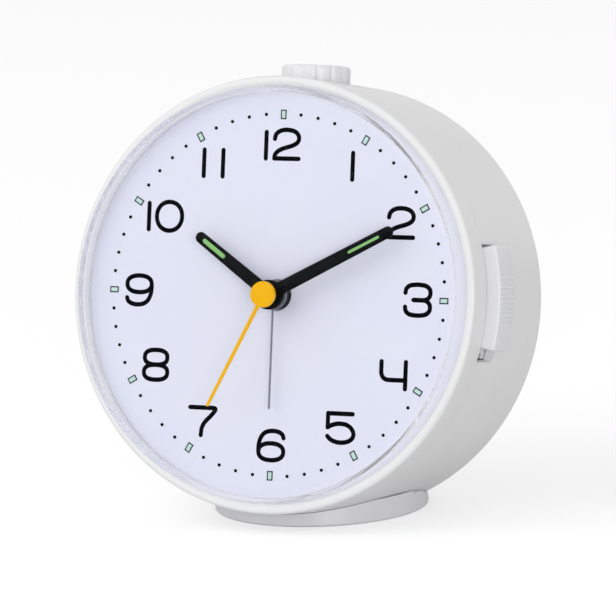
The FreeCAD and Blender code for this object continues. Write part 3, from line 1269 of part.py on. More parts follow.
def make_battery():
    """Door, cell and its two contacts."""
    body = new_body("battery_door")
    rim = d.door_rim - d.fit_gap
    half = bay_half_length
    face = at_depth(body, "door_face", cover_back)
    rectangle(face, -half - rim, bay_bottom - rim, half + rim, bay_top + rim)
    pad(body, face, d.door_thick)
    latch = at_depth(body, "door_latch", cover_back - d.door_thick)
    wide = d.door_rim * 5
    rectangle(latch, -wide, bay_top - d.door_rim * 2, wide, bay_top - d.door_rim)
    pad(body, latch, d.door_thick)
    grip = at_depth(body, "door_grip", cover_back)
    rectangle(grip, -wide, bay_top - d.door_rim * 3, wide, bay_top - d.door_rim * 2)
    pocket(body, grip, d.door_thick / 2, reverse=True)
    node("battery_door", body)

    middle_z = ((bay_top + bay_bottom) / 2).number
    middle_y = (cover_back - bay_depth).number + d.battery_radius.number + d.fit_gap.number
    plus_end = bay_half_length.number - d.contact_thick.number - d.fit_gap.number
    can_end = plus_end - d.cap_length.number
    can = Part.makeCylinder(d.battery_radius.number, d.battery_length.number,
                            Vector(can_end - d.battery_length.number, middle_y, middle_z), Vector(1, 0, 0))
    cap = Part.makeCylinder(d.cap_radius.number, d.cap_length.number, Vector(can_end, middle_y, middle_z),
                            Vector(1, 0, 0))
    shaped("battery", join([can, cap]))
    half = d.contact_half.number
    plate = Part.makeBox(d.contact_thick.number, 2 * half, 2 * half)
    plus = plate.copy()
    plus.translate(Vector(bay_half_length.number - d.contact_thick.number, middle_y - half, middle_z - half))
    shaped("battery_contact", plus)
    minus = plate.copy()
    minus.translate(Vector(-bay_half_length.number, middle_y - half, middle_z - half))
    free = (can_end - d.battery_length.number) - (-bay_half_length.number + d.contact_thick.number)
    spring_length = free + d.contact_spring_wire.number - d.fit_gap.number
    spring = coil_spring(d.contact_spring_radius.number, d.contact_spring_wire.number,
                         d.contact_spring_turns.number, spring_length)
    spring.rotate(Vector(0, 0, 0), Vector(0, 1, 0), 90)
    spring.translate(Vector(-bay_half_length.number + d.contact_thick.number
                            - d.contact_spring_wire.number, middle_y, middle_z))
    shaped("battery_spring", minus.fuse(spring))


def make_knobs():
    """Fluted knobs at the back for the time and for the alarm."""
    for label, side in (("time_set_knob", -1), ("alarm_set_knob", 1)):
        body = new_body(label)
        front = cover_back + d.knob_gap
        grip = at_depth(body, f"{label}_grip", front)
        circle(grip, d.knob_radius)
        pad(body, grip, d.knob_height, reverse=True)
        stem = at_depth(body, f"{label}_stem", front)
        circle(stem, d.knob_stem)
        pad(body, stem, d.knob_gap + d.cover_thick)
        bore = at_depth(body, f"{label}_bore", front - d.knob_gap - d.cover_thick)
        circle(bore, d.setting_arbor_radius + d.run_gap / 3)
        pocket(body, bore, d.knob_gap + d.cover_thick + d.knob_height / 2 + d.fit_gap)
        flute = at_depth(body, f"{label}_flute", front)
        circle(flute, d.knob_flute_radius, 0, d.knob_radius + d.knob_flute_radius / 2)
        cut = pocket(body, flute, d.knob_height)
        repeat(body, cut, d.knob_flute_count)
        node(label, body, side * d.knob_distance)


# Top button and side switch

def make_button():
    """Fluted top button with its flange and stem, turned about its own z axis."""
    body = new_body("snooze_button")
    cap = new_sketch(body, "button_cap", "XY_Plane", button_flange_low)
    circle(cap, d.button_radius)
    top = pad(body, cap, button_top - button_flange_low)
    edges = [f"Edge{i}" for i, edge in enumerate(top.Shape.Edges, start=1)
             if edge.BoundBox.ZMin > button_top.number - 1e-4]
    chamfer = body.newObject("PartDesign::Chamfer", "button_chamfer")
    chamfer.Base = (top, edges)
    chamfer.setExpression("Size", d.button_chamfer.formula)
    flute = new_sketch(body, "button_flute", "XY_Plane", d.case_radius - d.case_wall)
    circle(flute, d.flute_radius, 0, d.button_radius + d.flute_radius / 4)
    cut = pocket(body, flute, d.button_rise + d.case_wall, reverse=True)
    repeat(body, cut, d.flute_count, "Z_Axis")
    flange = new_sketch(body, "button_flange", "XY_Plane", button_flange_low)
    circle(flange, d.button_radius + d.button_flange)
    pad(body, flange, d.button_flange_thick)
    stem = new_sketch(body, "button_stem", "XY_Plane", button_flange_low - stem_length)
    circle(stem, d.stem_radius)
    pad(body, stem, stem_length)
    node("snooze_button", body, 0, d.button_depth)

    body = new_body("snooze_bracket")
    plate = new_sketch(body, "bracket_plate", "XY_Plane", sleeve_low - d.bracket_thick)
    circle(plate, sleeve_outside)
    pad(body, plate, d.bracket_thick)
    node("snooze_bracket", body, 0, d.button_depth)

    body = new_body("snooze_switch")
    case = new_sketch(body, "switch_case", "XY_Plane", sleeve_low)
    rectangle(case, -d.switch_half, -d.switch_half, d.switch_half, d.switch_half)
    pad(body, case, d.switch_height)
    plunger = new_sketch(body, "switch_plunger", "XY_Plane", sleeve_low + d.switch_height)
    circle(plunger, d.plunger_radius)
    pad(body, plunger, d.plunger_height)
    node("snooze_switch", body, 0, d.button_depth)

    spring = coil_spring(d.snooze_spring_radius.number, d.snooze_spring_wire.number,
                         d.snooze_spring_turns.number, (button_flange_low - sleeve_low).number)
    spring.translate(Vector(0, 0, sleeve_low.number))
    shaped("snooze_spring", spring, 0, d.button_depth)


def arc_block(inner, outer, start, end, front, back):
    """A block bent round the hands' axis between two directions."""
    radii, turn = (inner.number, outer.number), (start.number, end.number)

    def place(radius, degrees):
        angle = math.radians(degrees)
        return Vector(radius * math.sin(angle), front.number, radius * math.cos(angle))

    middle = (turn[0] + turn[1]) / 2
    arcs = [Part.Arc(*(place(radius, a) for a in (turn[0], middle, turn[1]))).toShape() for radius in radii]
    ends = [Part.makeLine(place(radii[0], a), place(radii[1], a)) for a in turn]
    edges = Part.__sortEdges__([arcs[0], arcs[1], ends[0], ends[1]])
    return Part.Face(Part.Wire(edges)).extrude(Vector(0, back.number - front.number, 0))


def make_slider():
    """Alarm slider: thumb piece through the slot, flange inside the barrel and grip ribs."""
    inner = bore_radius - d.fit_gap * 2
    back = slot_back - d.slider_gap
    thumb = arc_block(inner - d.slider_flange_thick, slider_outside, d.slider_start_angle, d.slider_end_angle,
                      slider_front, back)
    flange_front = d.parting_depth + d.case_wall + d.slider_gap
    flange_start = d.slider_start_angle - d.slider_flange_angle
    flange_end = d.slider_end_angle + d.slider_flange_angle
    flange = arc_block(inner - d.slider_flange_thick, inner, flange_start, flange_end,
                       flange_front, back + d.slider_flange_thick)
    front_cut = arc_block(inner - d.slider_flange_thick * 2, inner + d.fit_gap * 3, flange_start, flange_end,
                          slider_front, flange_front)
    solids = [thumb.cut(front_cut), flange]
    half = math.degrees(d.rib_half.number / slider_outside.number)
    for index in range(int(d.rib_count.number)):
        at = d.rib_start_angle + d.rib_pitch_angle * index
        rib = arc_block(slider_outside - d.rib_height, slider_outside + d.rib_height, at - half, at + half,
                        slider_front + d.slider_gap * 2, slider_front + d.slider_gap * 2 + d.rib_length)
        solids.append(rib)
    shaped("alarm_slider", join(solids))


# Foot and screws

def cylinder(name, radius, length, base):
    """A cylinder that stands on a point of the part's own frame."""
    piece = doc.addObject("Part::Cylinder", name)
    piece.setExpression("Radius", radius.formula)
    piece.setExpression("Height", length.formula)
    piece.Placement = Placement(Vector(*(as_size(value).number for value in base)), Rotation())
    for axis, value in zip("xyz", base):
        piece.setExpression(f"Placement.Base.{axis}", as_size(value).formula)
    return piece


def make_foot():
    """Low round foot that cradles the barrel, level with the table."""
    cone = doc.addObject("Part::Cone", "foot_cone")
    cone.setExpression("Radius1", d.foot_radius.formula)
    cone.setExpression("Radius2", (d.foot_radius - d.foot_taper).formula)
    cone.setExpression("Height", d.foot_height.formula)
    doc.recompute()
    edge = next(i for i, item in enumerate(cone.Shape.Edges, start=1)
                if item.BoundBox.ZMax < 1e-6 and item.BoundBox.XLength > 1)
    rounded = doc.addObject("Part::Fillet", "foot_rounded")
    rounded.Base = cone
    rounded.Edges = [(edge, d.foot_round.number, d.foot_round.number)]

    # The barrel's own form, kept above the foot's floor, is taken out of the foot
    barrel_radius = d.case_radius + d.fit_gap
    barrel_length = d.case_depth + d.bezel_front + d.fit_gap
    front = -d.bezel_front
    barrel = cylinder("barrel_form", barrel_radius, barrel_length,
                      (0, front * lean_cosine - d.foot_setback, dial_height - front * lean_sine))
    turn = 90 + d.lean_angle
    barrel.Placement = Placement(barrel.Placement.Base, Rotation(Vector(-1, 0, 0), turn.number))
    barrel.setExpression("Placement.Rotation.Angle", turn.formula)
    doc.recompute()
    edge = max(enumerate(barrel.Shape.Edges, start=1), key=lambda item: item[1].CenterOfMass.y)[0]
    barrel_rounded = doc.addObject("Part::Fillet", "barrel_rounded")
    barrel_rounded.Base = barrel
    barrel_rounded.Edges = [(edge, d.rear_round.number, d.rear_round.number)]
    above = doc.addObject("Part::Box", "above_floor")
    for side in ("Length", "Width"):
        above.setExpression(side, (d.foot_radius * 4).formula)
    above.setExpression("Height", (d.foot_height * 3).formula)
    above.setExpression("Placement.Base.x", (d.foot_radius * -2).formula)
    above.setExpression("Placement.Base.y", (d.foot_radius * -2).formula)
    above.setExpression("Placement.Base.z", d.foot_floor.formula)
    cradle = doc.addObject("Part::MultiCommon", "cradle")
    cradle.Shapes = [barrel_rounded, above]

    hollow = doc.addObject("Part::Cut", "underside")
    hollow.Base = cylinder("underside_edge", d.foot_radius - d.foot_taper - d.foot_ring, d.foot_recess, (0, 0, 0))
    hollow.Tool = cylinder("middle_pad", d.foot_pad, d.foot_recess, (0, 0, 0))
    tools = [cradle, hollow]
    for side in (-1, 1):
        place = (side * d.foot_screw_side, d.foot_screw_back, 0)
        sink = d.foot_recess + d.head_thick / 2
        tools.append(cylinder("foot_hole", d.screw_radius + d.fit_gap, d.foot_height, place))
        tools.append(cylinder("foot_sink", d.head_radius + d.fit_gap, sink, place))
    cutters = doc.addObject("Part::MultiFuse", "foot_cutters")
    cutters.Shapes = tools
    foot = doc.addObject("Part::Cut", "foot_cut")
    foot.Base = rounded
    foot.Tool = cutters
    foot.Refine = True
    foot.Label = "foot"
    nodes.append(foot)


def screw(radius, length, head_radius, head_thick):
    """Round-headed screw along z: head below z = 0, shank above, with a driver slot."""
    shank = Part.makeCylinder(radius, length)
    tip = Part.makeCone(radius, radius * 0.4, radius, Vector(0, 0, length))
    head = Part.makeCylinder(head_radius, head_thick, Vector(0, 0, -head_thick))
    slots = [Part.makeBox(head_radius * 1.3, radius * 0.5, head_thick / 2,
                          Vector(-head_radius * 0.65, -radius * 0.25, -head_thick)) for _ in range(2)]
    slots[1].rotate(Vector(0, 0, 0), Vector(0, 0, 1), 90)
    return join([shank, tip, head]).cut(slots)


def make_screws():
    """Screws of the foot, of the rear cover and of the movement, each kind in one group."""
    n = SimpleNamespace(**{name: value.number for name, value in vars(d).items()})
    group = []
    # The heads of the foot screws sit in the sinks of the foot's floor
    seat = n.foot_recess + n.head_thick / 2
    for side in (-1, 1):
        item = screw(n.screw_radius, n.screw_length, n.head_radius, n.head_thick / 2)
        item.translate(Vector(side * n.foot_screw_side, n.foot_screw_back, seat))
        group.append(item)
    piece = doc.addObject("Part::Feature", "foot_screws")
    piece.Shape = Part.makeCompound(group)
    piece.Label = "foot_screws"
    nodes.append(piece)

    group = []
    seat = cover_back.number - n.head_thick
    for index in range(3):
        item = screw(n.screw_radius, n.screw_length, n.head_radius, n.head_thick)
        item.rotate(Vector(0, 0, 0), Vector(1, 0, 0), 90)
        angle = math.radians(120 * index)
        item.translate(Vector(cover_screw_radius.number * math.sin(angle), seat,
                              cover_screw_radius.number * math.cos(angle)))
        group.append(item)
    shaped("cover_screws", Part.makeCompound(group))

    group = []
    seat = (housing_front + d.housing_wall).number
    for side in (-1, 1):
        item = screw(n.screw_radius, n.carrier_thick + n.housing_wall - n.screw_radius - n.fit_gap,
                     n.head_radius, n.head_thick)
        item.rotate(Vector(0, 0, 0), Vector(1, 0, 0), 90)
        item.translate(Vector(side * (n.housing_half_width + n.boss_radius), seat, 0))
        group.append(item)
    shaped("movement_screws", Part.makeCompound(group))


def build():
    make_bezel_ring()
    make_lens()
    make_case_shell()
    make_dial()
    make_track()
    make_numerals()
    make_hands()
    make_train()
    make_housing()
    make_plates()
    make_motor()
    make_electronics()
    make_cover()
    make_battery()
    make_knobs()
    make_button()
    make_slider()
    make_foot()
    make_screws()
    doc.recompute()


def check_and_export():
    """Looks for failed features and bad shapes, and only then writes each sub-part."""
    for item in doc.Objects:
        if "Invalid" in item.State or "Error" in item.State:
            raise RuntimeError(f"{item.Label} failed: {item.State}")
    for piece in nodes:
        if piece.Shape.isNull() or not piece.Shape.isValid() or not piece.Shape.Solids:
            raise RuntimeError(f"{piece.Label} has no valid shape")
    os.makedirs("parts", exist_ok=True)
    for piece in nodes:
        piece.Shape.exportStep(f"parts/{piece.Label}.step")
        print(f"{piece.Label}: {len(piece.Shape.Solids)} solids, {piece.Shape.Volume:.1f} mm3")


build()
check_and_export()
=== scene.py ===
"""A round white bedside alarm clock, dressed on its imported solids.

Lengths are millimetres in the barrel's own frame (x to three o'clock, y backwards from the
dial's face, z to twelve o'clock) until the moment a mesh is made, which is in metres.
"""
import json
import logging
import math
from dataclasses import dataclass, field
from enum import Enum

import bmesh
import bpy
import numpy as np
from mathutils import Matrix


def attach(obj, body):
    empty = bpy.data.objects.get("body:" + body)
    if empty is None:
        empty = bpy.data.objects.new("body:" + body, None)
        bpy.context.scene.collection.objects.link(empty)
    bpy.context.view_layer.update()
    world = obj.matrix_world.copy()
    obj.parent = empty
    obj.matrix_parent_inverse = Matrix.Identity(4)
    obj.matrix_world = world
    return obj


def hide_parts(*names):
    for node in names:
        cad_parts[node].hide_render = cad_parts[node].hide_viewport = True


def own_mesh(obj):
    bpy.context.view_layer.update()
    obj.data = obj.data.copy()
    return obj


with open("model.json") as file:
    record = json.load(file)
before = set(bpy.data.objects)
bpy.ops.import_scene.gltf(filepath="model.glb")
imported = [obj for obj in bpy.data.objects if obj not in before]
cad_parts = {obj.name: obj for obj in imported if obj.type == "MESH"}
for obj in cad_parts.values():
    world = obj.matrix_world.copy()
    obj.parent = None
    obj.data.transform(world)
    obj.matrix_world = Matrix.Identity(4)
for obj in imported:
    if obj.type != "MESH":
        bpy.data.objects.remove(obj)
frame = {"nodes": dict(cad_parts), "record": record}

log = logging.getLogger("alarm_clock")
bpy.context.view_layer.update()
Tree = bpy.types.NodeTree
Socket = bpy.types.NodeSocket
Array = np.ndarray


# ---- Colours and nodes

def linear_colour(code: str) -> tuple[float, float, float, float]:
    """Turns an sRGB hex colour such as "#F3B728" into linear light with full opacity."""
    channels = np.array([int(code[start:start + 2], 16) for start in (1, 3, 5)]) / 255.0
    light = np.where(channels <= 0.04045, channels / 12.92, ((channels + 0.055) / 1.055) ** 2.4)
    return (*light.tolist(), 1.0)


def per_metre(millimetres: float) -> float:
    """Gives a texture scale whose features are about this many millimetres wide."""
    return 1000.0 / millimetres


def cleared(owner: bpy.types.Material | bpy.types.World) -> Tree:
    """Switches a material or a world to nodes and empties its tree."""
    owner.use_nodes = True
    owner.node_tree.nodes.clear()
    return owner.node_tree


def add_node(tree: Tree, kind: str, feeds: dict[str | int, object] | None = None,
             **settings: object) -> bpy.types.Node:
    """Adds one node, sets its options and fills or links its inputs.

    Args:
        tree: tree that gets the node.
        kind: type name of the node without its leading ShaderNode.
        feeds: a plain value or another node's output for each input, by name or number.
        settings: options of the node itself.

    Returns:
        The new node.
    """
    node = tree.nodes.new(f"ShaderNode{kind}")
    for option, value in settings.items():
        setattr(node, option, value)
    for name, value in (feeds or {}).items():
        if isinstance(value, Socket):
            tree.links.new(value, node.inputs[name])
        else:
            node.inputs[name].default_value = value
    return node


def reckoned(tree: Tree, operation: str, *values: float | Socket) -> Socket:
    """Adds a math node over the values and gives its result."""
    return add_node(tree, "Math", dict(enumerate(values)), operation=operation).outputs["Value"]


def mixed(tree: Tree, share: Socket, first: object, second: object) -> Socket:
    """Adds a node that goes from the first colour to the second one with the share."""
    return add_node(tree, "Mix", {0: share, 6: first, 7: second}, data_type="RGBA").outputs[2]


class Making(Enum):
    """How a surface was made: texture node of its fine pattern, its result, inputs and options."""

    # Even fine grain of a mould's wall
    MOULDED = ("TexNoise", "Fac", {"Detail": 3.0, "Roughness": 0.55}, {})
    # Long scratches in one direction
    BRUSHED = ("TexNoise", "Fac", {"Detail": 2.0}, {})
    # Rings round the hands' axis
    SPUN = ("TexWave", "Fac", {"Distortion": 0.4}, {"wave_type": "RINGS", "rings_direction": "Y"})
    # Turns of wire side by side
    WOUND = ("TexWave", "Fac", {"Distortion": 0.2}, {"wave_type": "BANDS", "bands_direction": "X"})
    # Crossing threads under lacquer
    WOVEN = ("TexWave", "Fac", {"Distortion": 0.3}, {"wave_type": "BANDS", "bands_direction": "X"})
    # Round grains pressed together
    GRITTY = ("TexVoronoi", "Distance", {}, {})


SCRATCH_SCALE = (0.04, 1.0, 1.0)
WHITE = (1.0, 1.0, 1.0, 1.0)
SKIRT_MARK = "skirt"


@dataclass(frozen=True)
class Finish:
    """One real material with the way its surface was made."""

    title: str
    base: str
    tone: str
    roughness: float
    making: Making = Making.MOULDED
    grain_mm: float = 0.35
    relief_mm: float = 0.004
    mottle_mm: float = 16.0
    pattern_share: float = 0.25
    gloss_swing: float = 0.05
    ior: float = 1.5
    metallic: float = 0.0

    def relief(self, tree: Tree, place: Socket) -> Socket:
        """Lays the fine pattern of the making over the piece.

        Args:
            tree: tree that gets the nodes.
            place: object coordinates.

        Returns:
            Height between 0 and 1.
        """
        kind, result, inputs, options = self.making.value
        if self.making is Making.BRUSHED:
            drawn = add_node(tree, "Mapping", {"Vector": place, "Scale": SCRATCH_SCALE})
            place = drawn.outputs["Vector"]
        turn = 2 * math.pi if kind == "TexWave" else 1.0
        feeds = {"Vector": place, "Scale": per_metre(self.grain_mm) / turn, **inputs}
        height = add_node(tree, kind, feeds, **options).outputs[result]
        if self.making is Making.WOVEN:
            crossing = add_node(tree, kind, feeds, **{**options, "bands_direction": "Z"})
            height = reckoned(tree, "MULTIPLY", height, crossing.outputs[result])
        return height

    def colour(self, tree: Tree, place: Socket, height: Socket) -> Socket:
        """Lets the colour drift slowly between two near tones.

        Args:
            tree: tree that gets the nodes.
            place: object coordinates.
            height: fine pattern of the surface.

        Returns:
            Colour of the surface.
        """
        cloud = add_node(tree, "TexNoise", {
            "Vector": place, "Scale": per_metre(self.mottle_mm), "Detail": 2.0}).outputs["Fac"]
        share = reckoned(tree, "MULTIPLY_ADD", height, self.pattern_share, cloud)
        return mixed(tree, share, linear_colour(self.base), linear_colour(self.tone))

    def extras(self, tree: Tree) -> dict[str, object]:
        """Gives further inputs of the surface shader."""
        return {}

    def surface(self, tree: Tree, shader: Socket) -> Socket:
        """Passes the shader on as it is."""
        return shader

    def material(self) -> bpy.types.Material:
        """Builds the material under the finish's title."""
        material = bpy.data.materials.new(self.title)
        tree = cleared(material)
        place = add_node(tree, "TexCoord").outputs["Object"]
        height = self.relief(tree, place)
        gloss = add_node(tree, "MapRange", {
            "Value": height, "To Min": self.roughness - self.gloss_swing,
            "To Max": self.roughness + self.gloss_swing}).outputs["Result"]
        bump = add_node(tree, "Bump", {"Height": height, "Distance": self.relief_mm / 1000.0})
        feeds = {"Base Color": self.colour(tree, place, height), "Roughness": gloss,
                 "Normal": bump.outputs["Normal"], "Metallic": self.metallic}
        if not self.metallic:
            feeds["IOR"] = self.ior
        shader = add_node(tree, "BsdfPrincipled", {**feeds, **self.extras(tree)}).outputs["BSDF"]
        add_node(tree, "OutputMaterial", {"Surface": self.surface(tree, shader)})
        return material


@dataclass(frozen=True)
class GlossyPolymer(Finish):
    """Moulded polymer whose skin is a clear, smoother layer over the pigment."""

    skin: float = 0.3
    skin_roughness: float = 0.12

    def extras(self, tree: Tree) -> dict[str, object]:
        """Adds the clear skin."""
        return {"Coat Weight": self.skin, "Coat Roughness": self.skin_roughness}


@dataclass(frozen=True)
class ClearSheet(Finish):
    """Clear acrylic with a glare coating. Where its skirt mark is 1, a share of diffuse white is
    painted light that brightens the rim, which renders dark in shade.
    """

    glare: float = 0.04
    # Share of diffuse white on the skirt: painted light that lightens the shaded rim
    milky: float = 0.15

    def extras(self, tree: Tree) -> dict[str, object]:
        """Makes the sheet pass light, less the painted rim light's share at the skirt, and keeps
        only a share of its mirror image.
        """
        skirt = add_node(tree, "Attribute", attribute_name=SKIRT_MARK).outputs["Fac"]
        return {"Transmission Weight": reckoned(tree, "MULTIPLY_ADD", skirt, -self.milky, 1.0),
                "Specular Tint": (self.glare, self.glare, self.glare, 1.0)}

    def surface(self, tree: Tree, shader: Socket) -> Socket:
        """Lets the light of lamps and of lit surfaces pass, so that the sheet casts no shadow."""
        path = add_node(tree, "LightPath").outputs
        either = reckoned(tree, "MAXIMUM", path["Is Shadow Ray"], path["Is Diffuse Ray"])
        free = add_node(tree, "BsdfTransparent", {"Color": WHITE}).outputs["BSDF"]
        return add_node(tree, "MixShader", {0: either, 1: shader, 2: free}).outputs["Shader"]


@dataclass(frozen=True)
class BandedWrap(Finish):
    """Printed film round a cell, with one band of a second colour at the plus end."""

    band: str = "#B98A4A"
    band_start_mm: float = 12.0

    def colour(self, tree: Tree, place: Socket, height: Socket) -> Socket:
        """Puts the band's colour beyond a plane across the cell."""
        film = super().colour(tree, place, height)
        along = add_node(tree, "SeparateXYZ", {"Vector": place}).outputs["X"]
        beyond = reckoned(tree, "GREATER_THAN", along, self.band_start_mm / 1000.0)
        return mixed(tree, beyond, film, linear_colour(self.band))


class Slot(Enum):
    """Material slots of the record, each with the finish of a real material.

    A matched index is below the real material's, because the object's mirror images are weaker.
    """

    # ABS, injection moulded with a satin mould wall: soft white, small soft highlights
    white_case = GlossyPolymer(
        "abs_satin_white", "#F6F6F7", "#F0F0F1", 0.36, grain_mm=0.4, relief_mm=0.003, ior=1.54,
        skin=0.12, skin_roughness=0.22)
    # The same ABS from a polished mould: a little glossier
    white_knob = GlossyPolymer(
        "abs_polished_white", "#F5F5F7", "#EFEFF1", 0.3, grain_mm=0.5, relief_mm=0.002, ior=1.54,
        skin=0.2, skin_roughness=0.15)
    # The case's white ABS, greyed a little: painted shade for the barrel's shade that the foot
    # sits in
    pale_foot = GlossyPolymer(
        "abs_satin_white_painted_shade", "#EBEBEE", "#E4E4E8", 0.38, grain_mm=0.4, relief_mm=0.003, ior=1.54,
        skin=0.1, skin_roughness=0.25)
    # Acrylic, injection moulded, thin and clear, matched index: the dial shows through unbent; its
    # skirt carries painted light, a share of diffuse white that brightens the rim
    clear_lens = ClearSheet(
        "acrylic_clear", "#FFFFFF", "#FCFCFF", 0.015, grain_mm=6.0, relief_mm=0.0003,
        gloss_swing=0.008, ior=1.15)
    # Lacquered card with a cool white print: flat, with a trace of paper grain
    dial_print = Finish(
        "card_lacquered_white", "#ECEFFD", "#E8EBFB", 0.5, grain_mm=0.25, relief_mm=0.002,
        mottle_mm=24.0)
    # Polystyrene, moulded in grey
    grey_carrier = Finish("polystyrene_grey", "#A9ACB2", "#A1A4AA", 0.5, relief_mm=0.006)
    # Screen printing ink, solid black and nearly without sheen, matched index
    black_print = Finish(
        "screen_ink_black", "#06090C", "#0A0D11", 0.5, grain_mm=0.12, mottle_mm=3.0, ior=1.08)
    # Screen printing ink, pale mint
    mint_print = Finish("screen_ink_mint", "#CFEBE4", "#C4E3DA", 0.5, grain_mm=0.12, mottle_mm=2.0)
    # Aluminium strip under black enamel, matched index: deep black with a faint highlight
    black_hand = GlossyPolymer(
        "enamel_black", "#06080B", "#0A0C0F", 0.36, grain_mm=0.2, relief_mm=0.002, mottle_mm=6.0,
        ior=1.15, skin=0.03, skin_roughness=0.2)
    # Strontium aluminate paint: granular, flat yellow-green
    lume_green = Finish(
        "luminous_paint_green", "#96D080", "#88C472", 0.7, Making.GRITTY, grain_mm=0.1,
        relief_mm=0.02, mottle_mm=1.5)
    # Amber enamel of the second hand and its cap, matched index
    amber_hand = GlossyPolymer(
        "enamel_amber", "#FFC20C", "#FCBA08", 0.36, grain_mm=0.25, relief_mm=0.002, mottle_mm=5.0,
        ior=1.2, skin=0.06, skin_roughness=0.2)
    # Thin aluminium strip under grey enamel
    grey_hand = GlossyPolymer(
        "enamel_grey", "#7C818F", "#747988", 0.35, grain_mm=0.2, relief_mm=0.002, mottle_mm=5.0,
        skin=0.2, skin_roughness=0.15)
    # Nylon wheels: milky and slightly waxy
    nylon_wheel = Finish(
        "nylon_natural", "#E9E6DA", "#E0DCCD", 0.42, grain_mm=0.3, relief_mm=0.003, mottle_mm=4.0,
        ior=1.53)
    # Polycarbonate movement housing in dark grey
    housing_resin = Finish(
        "polycarbonate_charcoal", "#2B2D30", "#323437", 0.45, grain_mm=0.3, relief_mm=0.006,
        ior=1.58)
    # Plated steel, pressed and tumbled
    steel_core = Finish(
        "steel_zinc_plated", "#B9BCC0", "#A7AAAE", 0.32, Making.BRUSHED, grain_mm=0.12,
        relief_mm=0.003, mottle_mm=5.0, metallic=1.0)
    # Sintered ferrite magnet: dark and gritty
    rotor_ferrite = Finish(
        "ferrite_sintered", "#2A2A2D", "#3A3A3D", 0.6, Making.GRITTY, grain_mm=0.15,
        relief_mm=0.02, mottle_mm=2.0)
    # Enamelled copper wire wound on its bobbin, drawn as coarse as it needs to show
    copper_wire = Finish(
        "copper_enamelled", "#B4632F", "#9A4F23", 0.28, Making.WOUND, grain_mm=0.18,
        relief_mm=0.04, mottle_mm=3.0, metallic=1.0)
    # Glass fibre board under green solder lacquer
    green_board = Finish(
        "board_lacquered_green", "#1F6B45", "#185C3A", 0.35, Making.WOVEN, grain_mm=0.5,
        relief_mm=0.008, mottle_mm=4.0)
    # Rolled brass disc
    brass_disc = Finish(
        "brass_rolled", "#C9A75A", "#B9954A", 0.3, Making.SPUN, grain_mm=0.3, relief_mm=0.003,
        mottle_mm=6.0, metallic=1.0)
    # Spring steel with nickel plating
    plated_contact = Finish(
        "nickel_plated_steel", "#C6C4BC", "#B6B4AC", 0.25, Making.BRUSHED, grain_mm=0.15,
        relief_mm=0.002, mottle_mm=4.0, metallic=1.0)
    # Printed shrink film of the cell
    cell_wrap = BandedWrap(
        "film_graphite", "#2E3136", "#34373C", 0.25, grain_mm=0.6, relief_mm=0.002, mottle_mm=8.0)


# ---- Frames and surfaces

@dataclass(frozen=True)
class LeaningFrame:
    """Frame of the barrel, which leans back over its foot."""

    lean: float = math.radians(10.9)
    setback: float = 20.3
    height: float = 52.60895

    def turn(self, vectors: Array) -> Array:
        """Turns vectors, whose last axis is x, y, z, by the lean about x."""
        x, y, z = np.moveaxis(np.asarray(vectors, dtype=float), -1, 0)
        up, across = math.cos(self.lean), math.sin(self.lean)
        return np.stack([x, y * up + z * across, z * up - y * across], axis=-1)

    def upright(self) -> Array:
        """Gives the direction of twelve o'clock."""
        return self.turn(np.array([0.0, 0.0, 1.0]))

    def place(self, points: Array) -> Array:
        """Turns points by the lean, shifts them onto the foot and gives metres."""
        return (self.turn(points) + (0.0, -self.setback, self.height)) / 1000.0

    def outward(self, places: Array) -> Array:
        """Gives the vectors that lead from the hands' axis straight out to points.

        The sideways part is x, and the upward part is the point's offset from the dial's middle
        along the direction of twelve o'clock.

        Args:
            places: rows of x, y and z in metres, in the part's frame.

        Returns:
            One vector in millimetres for each row, in the part's directions.
        """
        offsets = places * 1000.0 - (0.0, -self.setback, self.height)
        return self.turn(joined(offsets[:, 0], 0.0, offsets @ self.upright()))


BARREL = LeaningFrame()
TINY = 1e-9
SAME_POINT = 1e-6


def full_turn(steps: int) -> Array:
    """Gives evenly spread angles once round a circle."""
    return np.linspace(0, 2 * math.pi, steps, endpoint=False)


def quarter(steps: int) -> Array:
    """Gives evenly spread angles from 0 to a right angle."""
    return np.linspace(0, math.pi / 2, steps + 1)


def joined(x: Array, depth: Array | float, z: Array) -> Array:
    """Joins coordinates of matching shapes to points."""
    return np.stack(np.broadcast_arrays(x, depth, z), axis=-1)


def around(radius: Array | float, turn: Array, depth: Array | float) -> Array:
    """Gives the points (r sin a, d, r cos a) for radius r, angle a and depth d."""
    return joined(radius * np.sin(turn), depth, radius * np.cos(turn))


def swung(across: Array, along: Array, degrees: float, depth: Array) -> Array:
    """Turns points that lie across and along the line of twelve o'clock by an angle a.

    Their x is along sin a + across cos a, and their z is along cos a - across sin a.
    """
    turn = math.radians(degrees)
    return joined(along * math.sin(turn) + across * math.cos(turn), depth,
                  along * math.cos(turn) - across * math.sin(turn))


